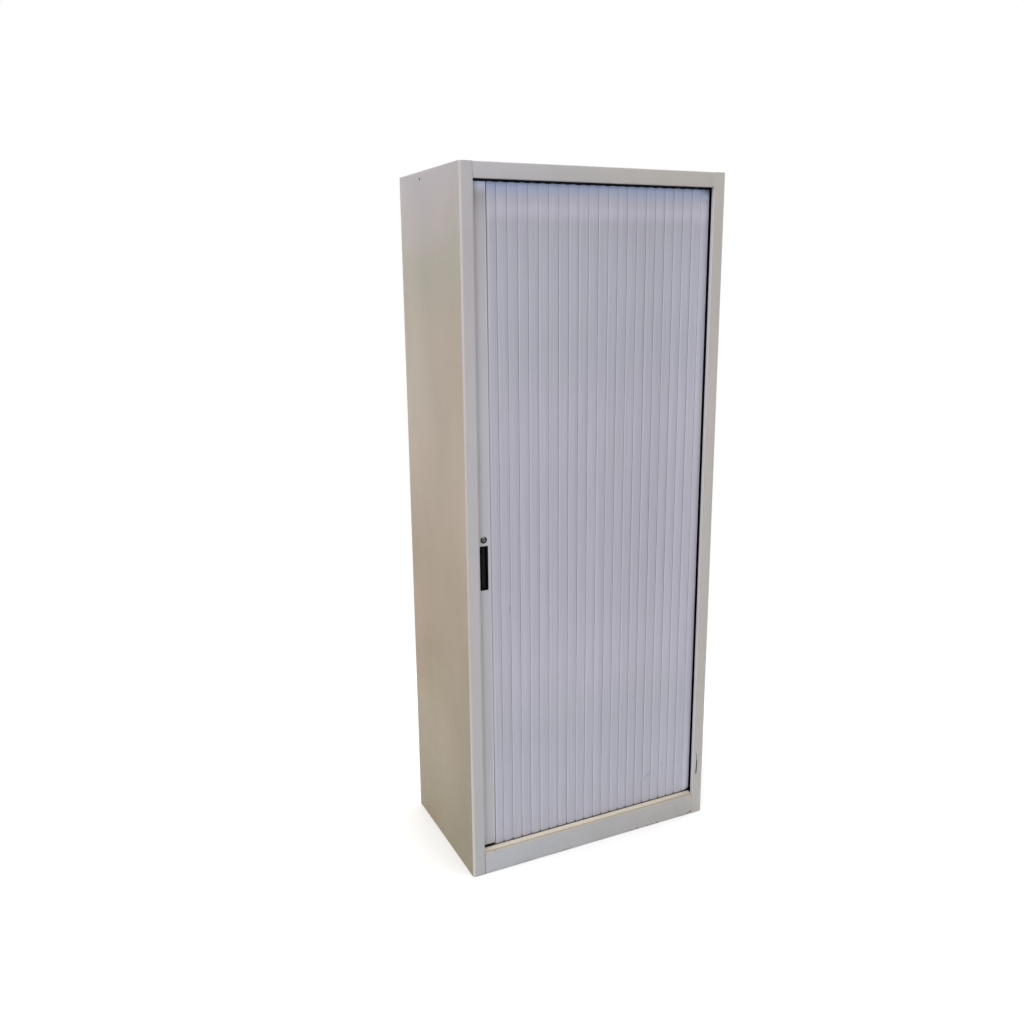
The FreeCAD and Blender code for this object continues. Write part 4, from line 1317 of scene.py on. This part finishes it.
@dataclass
class Curtain:
    """The slats, each hooked to the next, with their end glides.

    A slat is modelled about its left pivot, so that its sizes across are measured from there
    and its sizes in depth from the pivots' line. The line is the fine groove of its front, the
    lap is how far one part is sunk in the next, and low and high are the ends of its long parts,
    below which the skin reaches by the foot.
    """

    dresser: Dresser
    palette: Palette
    front_slats: int = 22
    corner_slats: int = 3
    set_back: float = 4.0 * MM
    skin: float = 2.0 * MM
    pivot_depth: float = 5.5 * MM
    depth: float = 9.5 * MM
    gap: float = 0.3 * MM
    edge: float = 0.8 * MM
    skin_edge: float = 0.25 * MM
    crown: float = 0.43 * MM
    line_back: float = 6.0 * MM
    line_half: float = 0.6 * MM
    line_deep: float = 0.35 * MM
    crown_steps: int = 6
    bead: float = 1.7 * MM
    hook: float = 3.0 * MM
    hook_reach: float = 1.59 * MM
    mouth: float = 1.75 * MM
    mouth_right: float = 0.3 * MM
    web: Span = (1.8 * MM, 3.0 * MM)
    web_front: float = 0.6 * MM
    wall: float = 1.0 * MM
    lap: float = 0.2 * MM
    knuckle: float = 4.4 * MM
    chamber: float = 14.0 * MM
    tongue: float = 11.8 * MM
    tongue_thick: float = 3.0 * MM
    tongue_set: float = 1.0 * MM
    tongue_reach: float = 15.0 * MM
    tongue_edge: float = 0.5 * MM
    foot: float = 1.0 * MM
    first: float = field(init=False)
    pitch: float = field(init=False)
    low: float = field(init=False)
    high: float = field(init=False)

    def __post_init__(self) -> None:
        """Lay the slats out."""
        self.first, self.pitch, self.low, self.high = self.layout()

    @classmethod
    def layout(cls) -> tuple[float, float, float, float]:
        """Read the slats' first pivot, their pitch and their two ends from the frame.

        Returns:
            The first pivot's x, the pitch, and the heights of the lower and the upper end.
        """
        (low, high), (following, _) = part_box("slat_01"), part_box("slat_02")
        return (low.x + cls.hook_reach, following.x - low.x, low.z + cls.tongue_reach,
                high.z - cls.tongue_reach)

    def build(self) -> None:
        """Hang a copy of the slat at every place."""
        hinge = (*self.hook_parts(), *self.bead_parts(), self.chamber_box())
        parts = [Bench.smooth(part, 40.0) for part in hinge]
        master = Bench.join([self.skin_plate(), *parts, *self.tongues()], "slat_master")
        for count, place in enumerate(self.places(), start=1):
            slat = Bench.copy(master, f"curtain_slat_{count:02d}", place)
            self.dresser.new(slat, self.palette.slat, f"curtain_{count:02d}", Slot.SLAT, f"slat_{count:02d}")
        bpy.data.objects.remove(master, do_unlink=True)

    def skin_plate(self) -> Piece:
        """Shape the crowned front plate, with rounded edges and a fine line near its right edge.

        Returns:
            The plate.
        """
        front = -self.pivot_depth
        plate = Bench.cube("slat_skin", (self.gap, front, self.low - self.foot),
                           (self.pitch - self.gap, front + self.skin, self.high))
        line = self.pitch - self.line_back
        crowned = line - self.line_half - self.edge
        steps = [self.edge + crowned * step / self.crown_steps for step in range(self.crown_steps + 1)]
        marks = [*steps, line, line + self.line_half, self.pitch - self.edge]
        with Bench.editing(plate, "VERT"):
            for x in marks:
                bpy.ops.mesh.select_all(action="SELECT")
                bpy.ops.mesh.bisect(plane_co=(x, 0, 0), plane_no=(1, 0, 0))
            mesh = bmesh.from_edit_mesh(plate.data)
            for x in [self.gap, *marks, self.pitch - self.gap]:
                for vert in mesh.verts:
                    vert.select_set(abs(vert.co.x - x) < NEAR and vert.co.y < front + self.skin / 2)
                bmesh.update_edit_mesh(plate.data)
                bpy.ops.transform.translate(value=(0, self.face_depth(x, line), 0))
        return Bench.soften(plate, self.skin_edge, 2, 35.0)

    def face_depth(self, x: float, line: float) -> float:
        """Work out how far back the front face is set at a point across the slat.

        Args:
            x: The point, from the left pivot.
            line: Where the fine line runs.

        Returns:
            The depth behind the plate's flat front, less than 0 where the face swells.
        """
        if x < self.edge / 2 or x > self.pitch - self.edge / 2:
            return self.edge * 0.9
        middle = self.pitch / 2
        swell = -self.crown * (1.0 - ((x - middle) / middle) ** 2)
        return swell + self.line_deep if abs(x - line) < NEAR else swell

    def bar(self, name: str, x: float, radius: float, sides: int, over: float = 0.0) -> Piece:
        """Start a round bar that runs up the whole slat on the pivots' line.

        Args:
            name: Name of the piece.
            x: The bar's place across the slat.
            radius: The bar's radius.
            sides: Faces round it.
            over: How far it stands out at each end.

        Returns:
            The bar.
        """
        return Bench.cylinder(name, (x, 0, self.low - over), Way.UP, radius,
                              self.high - self.low + 2 * over, sides)

    def strip(self, name: str, across: Span, deep: Span, over: float = 0.0) -> Piece:
        """Start a square strip that runs up the whole slat.

        Args:
            name: Name of the piece.
            across: Its left and right faces.
            deep: Its front and rear faces.
            over: How far it stands out at each end.

        Returns:
            The strip.
        """
        return Bench.cube(name, (across[0], deep[0], self.low - over), (across[1], deep[1], self.high + over))

    def hook_parts(self) -> list[Piece]:
        """Shape the hook at the left, open towards the slat before it, and the web that holds it.

        Returns:
            The hook and the web.
        """
        hook = self.bar("hook", 0, self.hook, 32)
        Bench.merge(hook, self.bar("hollow", 0, self.hook - self.wall, 32, MM), "DIFFERENCE")
        slit = self.strip("slit", (-2 * self.hook, -self.mouth_right), (-self.mouth, self.mouth), MM)
        Bench.merge(hook, slit, "DIFFERENCE")
        back = self.skin - self.pivot_depth
        return [hook, self.strip("hook_web", self.web, (back - self.lap, -self.web_front))]

    def bead_parts(self) -> list[Piece]:
        """Shape the bead at the right, on an arm bent back from the skin.

        Returns:
            The bead and the arm.
        """
        right = self.pitch - self.knuckle
        half = self.wall / 2
        bead = self.bar("bead", self.pitch, self.bead, 24)
        arm = self.strip("bead_arm", (right - self.wall, self.pitch - self.bead / 2), (-half, half))
        back = self.skin - self.pivot_depth
        post = self.strip("bead_post", (right - self.wall, right), (back - self.lap, half))
        return [bead, Bench.merge(arm, post, "UNION")]

    def chamber_box(self) -> Piece:
        """Shape the hollow chamber that stiffens the middle of the slat.

        Returns:
            The chamber.
        """
        back, rear = self.skin - self.pivot_depth, self.depth - self.pivot_depth
        left = self.pitch / 2 - self.chamber / 2
        right = left + self.chamber
        box = self.strip("chamber", (left, right), (back - self.lap, rear))
        hollow = self.strip("hollow", (left + self.wall, right - self.wall), (back, rear - self.wall), MM)
        return Bench.merge(box, hollow, "DIFFERENCE")

    def tongues(self) -> list[Piece]:
        """Shape the end glides that run in the tracks.

        Returns:
            The lower and the upper glide.
        """
        middle, half = self.pitch / 2, self.tongue / 2
        front, rear = (-self.tongue_set + side * self.tongue_thick / 2 for side in (-1, 1))
        glides = []
        for end in (self.low, self.high):
            glide = Bench.cube("glide", (middle - half, front, end - self.tongue_reach),
                               (middle + half, rear, end + self.tongue_reach))
            glides.append(Bench.soften(glide, self.tongue_edge))
        return glides

    def places(self) -> list[Matrix]:
        """Find where each slat hangs: along the front, then by chords round the corner.

        Returns:
            The place and turn of each slat's left pivot.
        """
        after = f"slat_{self.front_slats + 1}_turn"
        joint = next(joint for joint in self.dresser.frame["joints"] if joint["name"] == after)
        centre = Vector(joint["pos_m"])
        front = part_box("leading_stile")[0].y + self.set_back + self.pivot_depth
        pivots = [Vector((self.first + self.pitch * step, front, 0)) for step in range(self.front_slats + 1)]
        places = [Matrix.Translation(pivot) for pivot in pivots[:-1]]
        pivot = pivots[-1]
        for _ in range(self.corner_slats):
            ahead = self.next_pivot(pivot, centre, centre.y - front)
            way = ahead - pivot
            turn = Matrix.Rotation(math.atan2(way.y, way.x), 4, "Z")
            places.append(Matrix.Translation(pivot) @ turn)
            pivot = ahead
        return places

    def next_pivot(self, pivot: Vector, centre: Vector, radius: float) -> Vector:
        """Halve the way along the track down to the point one pitch further on.

        Args:
            pivot: The pivot to start from.
            centre: Centre of the track's turn.
            radius: Radius of the pivots' line in the turn.

        Returns:
            The next pivot, on the turn or on the side run behind it.
        """
        low, high = 0.0, math.pi
        for _ in range(40):
            middle = (low + high) / 2
            if (self.on_turn(middle, centre, radius) - pivot).length < self.pitch:
                low = middle
            else:
                high = middle
        return self.on_turn(low, centre, radius)

    def on_turn(self, angle: float, centre: Vector, radius: float) -> Vector:
        """Find a point of the track, from the turn's start and straight on past a quarter.

        Args:
            angle: How far along, as an angle of the turn.
            centre: Centre of the turn.
            radius: Radius of the pivots' line in the turn.

        Returns:
            The point.
        """
        if angle <= math.pi / 2:
            return Vector((centre.x + radius * math.sin(angle), centre.y - radius * math.cos(angle), 0))
        return Vector((centre.x + radius, centre.y + radius * (angle - math.pi / 2), 0))


@dataclass
class Stile:
    """Leading stile with its shoes, finger pull and lock.

    Bends are outer radii, edges are the widths of small roundings, and the key slot is half its
    width, its depth and half its height.
    """

    dresser: Dresser
    palette: Palette
    skin: float = 1.2 * MM
    bend: float = 2.2 * MM
    turn_in: float = 2.6 * MM
    turn_bend: float = 0.9 * MM
    overlap: float = 4.1 * MM
    flange_edge: float = 0.3 * MM
    arm: float = 1.0 * MM
    lap: float = 0.2 * MM
    foot: float = 2.0 * MM
    rim: float = 2.4 * MM
    wall: float = 1.6 * MM
    corner: float = 2.2 * MM
    clear: float = 0.3 * MM
    floor_bend: float = 0.8 * MM
    pull_edge: float = 0.35 * MM
    lock_hole: float = 8.1 * MM
    sleeve: float = 8.0 * MM
    ring_edge: float = 0.4 * MM
    bore_clear: float = 0.1 * MM
    plug_rim: float = 1.2 * MM
    plug_step: float = 0.3 * MM
    plug_edge: float = 0.2 * MM
    key_slot: Spot = (1.2 * MM, 6.0 * MM, 4.3 * MM)
    key_turn: float = 40.0

    def build(self) -> None:
        """Model and dress the stile and what it carries."""
        self.channel()
        self.pull()
        self.ring()
        self.plug()
        self.dresser.node("glide_shoes", self.palette.track)
        for name in ("lock_nut", "lock_cam", "cam_screw"):
            self.dresser.node(name, self.palette.zinc)

    def channel(self) -> None:
        """Fold the channel, cut its two windows and add the bead that takes the first slat."""
        low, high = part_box("leading_stile")
        bottom, height = low.z + self.foot, high.z - low.z - self.foot
        pivot = Vector((high.x - Curtain.bead, low.y + Curtain.set_back + Curtain.pivot_depth, bottom))
        right = pivot.x - Curtain.gap
        steps = ((0, low.y - high.y, 0), (right - low.x, 0, 0), (0, self.turn_in, 0))
        sheet = Bench.fold("stile_channel", (low.x, high.y, bottom), (0, 0, height), steps,
                           (self.bend, self.turn_bend), self.skin, Way.LEFT)
        inner = right - self.overlap
        flange = Bench.cube("stile_flange", (inner - self.skin, low.y + self.skin * 0.8, bottom),
                            (inner, high.y, high.z))
        arm = Bench.cube("stile_arm", (inner - self.lap, pivot.y - self.arm / 2, bottom),
                         (pivot.x - Curtain.bead / 2, pivot.y + self.arm / 2, high.z))
        bar = Bench.cylinder("stile_bead", pivot, Way.UP, Curtain.bead, height, 24)
        cup_low, cup_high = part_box("handle_cup")
        inset = Vector((self.rim, 0, self.rim))
        window = Bench.cube("window", Vector((cup_low.x, low.y - MM, cup_low.z)) + inset,
                            Vector((cup_high.x, low.y + 3 * MM, cup_high.z)) - inset)
        Bench.merge(sheet, window, "DIFFERENCE")
        centre = sum(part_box("lock_housing"), Vector()) / 2
        drill = Bench.cylinder("drill", (centre.x, low.y - MM, centre.z), Way.BACK, self.lock_hole, 4 * MM)
        Bench.merge(sheet, drill, "DIFFERENCE")
        Bench.smooth(sheet)
        shells = [sheet, Bench.soften(flange, self.flange_edge), arm, Bench.smooth(bar)]
        stile = Bench.join(shells, "stile_channel")
        self.dresser.new(stile, self.palette.stile, "door", Slot.STILE, "leading_stile")

    def pull(self) -> None:
        """Mould the finger pull: rim, cup behind it and a pocket with rounded corners."""
        low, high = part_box("handle_cup")
        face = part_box("leading_stile")[0].y
        rim = self.rounded("finger_pull", low, Vector((high.x, face, high.z)), self.corner)
        inset = Vector((self.rim + self.clear, 0, self.rim + self.clear))
        cup = self.rounded("cup", Vector((low.x, face - self.lap, low.z)) + inset, high - inset,
                           self.corner / 2)
        Bench.merge(rim, cup, "UNION")
        inset = Vector((self.rim + self.wall, 0, self.rim + self.wall))
        pocket = self.rounded("pocket", Vector((low.x, low.y - MM, low.z)) + inset,
                              Vector((high.x, high.y - self.wall, high.z)) - inset, self.corner / 2)
        with Bench.editing(pocket):
            Bench.pick_faces(pocket, lambda normal: normal.y > 0.9)
            bpy.ops.mesh.bevel(offset=self.floor_bend, segments=3, affect="EDGES")
        Bench.merge(rim, pocket, "DIFFERENCE")
        Bench.soften(rim, self.pull_edge, 3, 50.0)
        self.dresser.new(rim, self.palette.handle, "door", Slot.HANDLE, "handle_cup")

    def rounded(self, name: str, low: Vector, high: Vector, radius: float) -> Piece:
        """Start a block whose four edges along the depth are rounded.

        Args:
            name: Name of the piece.
            low: The block's lowest corner.
            high: The opposite corner.
            radius: Radius of the four edges.

        Returns:
            The block.
        """
        block = Bench.cube(name, low, high)
        with Bench.editing(block, "EDGE"):
            Bench.pick_edges(block, lambda a, b: (a - b).cross(Way.BACK.vector).length < NEAR)
            bpy.ops.mesh.bevel(offset=radius, segments=6, affect="EDGES")
        return block

    def ring(self) -> None:
        """Turn the lock's ring with its sleeve, and bore it for the barrel."""
        low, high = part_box("lock_housing")
        centre, radius = (low + high) / 2, (high.x - low.x) / 2
        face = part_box("leading_stile")[0].y
        barrel_low, barrel_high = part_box("lock_barrel")
        core = (barrel_high.x - barrel_low.x) / 2
        ring = Bench.cylinder("lock_ring", (centre.x, low.y, centre.z), Way.BACK, radius, face - low.y, 64)
        with Bench.editing(ring):
            Bench.pick_faces(ring, lambda normal: normal.y > 0.9)
            bpy.ops.mesh.inset(thickness=radius - self.sleeve)
            bpy.ops.mesh.extrude_region_move(TRANSFORM_OT_translate={"value": (0, high.y - face, 0)})
        bore = Bench.cylinder("bore", (centre.x, low.y - MM, centre.z), Way.BACK, core + self.bore_clear,
                              high.y - low.y + 2 * MM, 64)
        Bench.merge(ring, bore, "DIFFERENCE")
        Bench.soften(ring, self.ring_edge, 3, 40.0)
        self.dresser.new(ring, self.palette.lock, "door", Slot.LOCK, "lock_housing")

    def plug(self) -> None:
        """Turn the lock's barrel and cut the keyway at a slant."""
        housing = sum(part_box("lock_housing"), Vector()) / 2
        low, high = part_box("lock_barrel")
        plug = Bench.cylinder("lock_plug", (housing.x, low.y, housing.z), Way.BACK, (high.x - low.x) / 2,
                              high.y - low.y, 64)
        with Bench.editing(plug):
            Bench.pick_faces(plug, lambda normal: normal.y < -0.9)
            bpy.ops.mesh.inset(thickness=self.plug_rim, depth=0.0)
            bpy.ops.mesh.inset(thickness=self.plug_step, depth=-self.plug_step)
        half, deep, tall = self.key_slot
        key = Bench.cube("key_slot", (housing.x - half, low.y - MM, housing.z - tall),
                         (housing.x + half, low.y + deep, housing.z + tall))
        turn = Matrix.Rotation(math.radians(self.key_turn), 4, "Y")
        key.matrix_world = Matrix.Translation(housing) @ turn @ Matrix.Translation(-housing)
        Bench.merge(plug, Bench.settle(key), "DIFFERENCE")
        Bench.soften(plug, self.plug_edge, 2, 40.0)
        self.dresser.new(plug, self.palette.barrel, "lock_core", Slot.LOCK, "lock_barrel")


@dataclass
class Inside:
    """Shelves with their clips, the tracks, the strike and the buffers."""

    dresser: Dresser
    palette: Palette
    shelves: int = 4
    gauge: float = 1.0 * MM
    lip: float = 10.0 * MM
    bend: float = 1.8 * MM

    def build(self) -> None:
        """Model the shelves and dress the rest."""
        for count in range(1, self.shelves + 1):
            self.shelf(f"shelf_{count}")
        for level in ("lower", "upper"):
            for run in ("front_track", "side_track", "back_track", "corner_guides"):
                self.dresser.node(f"{level}_{run}", self.palette.track)
        self.dresser.node("shelf_clips", self.palette.zinc)
        self.dresser.node("lock_strike", self.palette.zinc)
        self.dresser.node("door_buffers", self.palette.rubber)

    def shelf(self, name: str) -> None:
        """Fold one shelf from its front lip to its rear flange.

        Args:
            name: The shelf's node.
        """
        low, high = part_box(name)
        drop = high.z - low.z
        steps = ((0, -self.lip, 0), (0, 0, drop), (0, high.y - low.y, 0), (0, 0, -drop))
        tray = Bench.fold(name + "_tray", (low.x, low.y + self.lip, low.z), (high.x - low.x, 0, 0),
                          steps, (self.bend,) * 3, self.gauge, Way.DOWN)
        self.dresser.new(tray, self.palette.steel, "cabinet", Slot.STEEL, name)


# ---------------------------------------------------------------- studio


@dataclass
class Studio:
    """Floor, soft lights and the camera.

    The camera's picture, focal length and centre are in pixels, and its angles in degrees.
    """

    picture: float = 1024.0
    sensor: float = 36.0
    focal: float = 940.98
    centre: Span = (514.88, 496.25)
    eye: Spot = (-1.31403, -2.45392, 1.68727)
    yaw: float = 25.3578
    pitch: float = -13.0037
    roll: float = -0.5192
    floor_size: float = 30.0
    floor_drop: float = 0.5 * MM
    floor_tone: Colour = (0.985, 0.985, 0.99)
    floor_fade: Span = (0.9, 1.7)
    ambient: float = 0.36
    lamp_size: float = 4.0
    aim: Spot = (0.0, 0.0, 0.95)
    lamps: tuple[tuple[str, Spot, float, Colour], ...] = (
        ("key", (-3.6, -5.6, 2.8), 250.0, (1.0, 0.99, 0.98)),
        ("left_fill", (-6.4, 0.4, 2.8), 120.0, (1.0, 0.98, 0.95)),
        ("top", (0.0, -0.5, 6.6), 310.0, (1.0, 1.0, 1.0)),
        ("right_fill", (6.6, 0.8, 1.6), 190.0, (0.98, 0.99, 1.0)),
        ("back_fill", (0.8, 7.0, 1.6), 260.0, (1.0, 1.0, 1.0)))

    def build(self) -> None:
        """Set the stage."""
        self.camera()
        self.floor()
        self.world()
        for name, place, power, colour in self.lamps:
            self.lamp(name, place, power, colour)
        bpy.context.scene.view_settings.view_transform = "Standard"

    def camera(self) -> None:
        """Stand the camera at its eye point and turn and shift it to its view."""
        yaw, pitch, roll = (math.radians(angle) for angle in (self.yaw, self.pitch, self.roll))
        ahead = Vector((math.sin(yaw) * math.cos(pitch), math.cos(yaw) * math.cos(pitch), math.sin(pitch)))
        level = Vector((math.cos(yaw), -math.sin(yaw), 0.0))
        above = level.cross(ahead)
        right = math.cos(roll) * level + math.sin(roll) * above
        up = math.cos(roll) * above - math.sin(roll) * level
        data = bpy.data.cameras.new("camera")
        data.sensor_width = self.sensor
        data.lens = self.focal / self.picture * self.sensor
        data.shift_x = (self.picture / 2 - self.centre[0]) / self.picture
        data.shift_y = (self.centre[1] - self.picture / 2) / self.picture
        eye = bpy.data.objects.new("camera", data)
        bpy.context.scene.collection.objects.link(eye)
        turn = Matrix((right, up, -ahead)).transposed().to_4x4()
        eye.matrix_world = Matrix.Translation(self.eye) @ turn
        bpy.context.scene.camera = eye

    def floor(self) -> None:
        """Lay a plain pale floor that keeps the shadow and fades out round it."""
        Bench.clear()
        bpy.ops.mesh.primitive_plane_add(size=self.floor_size, location=(0, 0, -self.floor_drop))
        floor = bpy.context.object
        floor.name = "studio_floor"
        graph = Graph("studio_floor", self.floor_tone)
        graph.feed(graph.shader.inputs["Alpha"], graph.x.hypot(graph.y).fall(*self.floor_fade))
        floor.data.materials.append(graph.surface(0.9, specular_ior_level=0.0))

    def world(self) -> None:
        """White where the camera looks, softer as a light."""
        world = bpy.data.worlds.new("studio")
        bpy.context.scene.world = world
        world.use_nodes = True
        tree = world.node_tree
        path = tree.nodes.new("ShaderNodeLightPath")
        blend = tree.nodes.new("ShaderNodeMixShader")
        tree.links.new(path.outputs["Is Camera Ray"], blend.inputs[0])
        lights = tree.nodes["Background"], tree.nodes.new("ShaderNodeBackground")
        for place, (light, strength) in enumerate(zip(lights, (self.ambient, 1.0)), start=1):
            light.inputs["Color"].default_value = (1.0, 1.0, 1.0, 1.0)
            light.inputs["Strength"].default_value = strength
            tree.links.new(light.outputs[0], blend.inputs[place])
        tree.links.new(blend.outputs[0], tree.nodes["World Output"].inputs["Surface"])

    def lamp(self, name: str, place: Spot, power: float, colour: Colour) -> None:
        """Hang a soft square lamp that looks at the cabinet's middle.

        Args:
            name: Name of the lamp.
            place: Where it hangs.
            power: Its power in watts.
            colour: Its colour.
        """
        data = bpy.data.lights.new(name, "AREA")
        data.size = self.lamp_size
        data.energy = power
        data.color = colour
        lamp = bpy.data.objects.new(name, data)
        bpy.context.scene.collection.objects.link(lamp)
        lamp.location = place
        lamp.rotation_euler = (Vector(self.aim) - Vector(place)).to_track_quat("-Z", "Y").to_euler()


def main() -> None:
    """Load the frame and build every sub-assembly round it."""
    logging.basicConfig(level=logging.INFO, format="%(name)s: %(message)s")
    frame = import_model()
    dresser, palette = Dresser(frame), Palette()
    Studio().build()
    Carcass(dresser, palette).build()
    Curtain(dresser, palette).build()
    Stile(dresser, palette).build()
    Inside(dresser, palette).build()


if __name__ == "__main__":
    main()
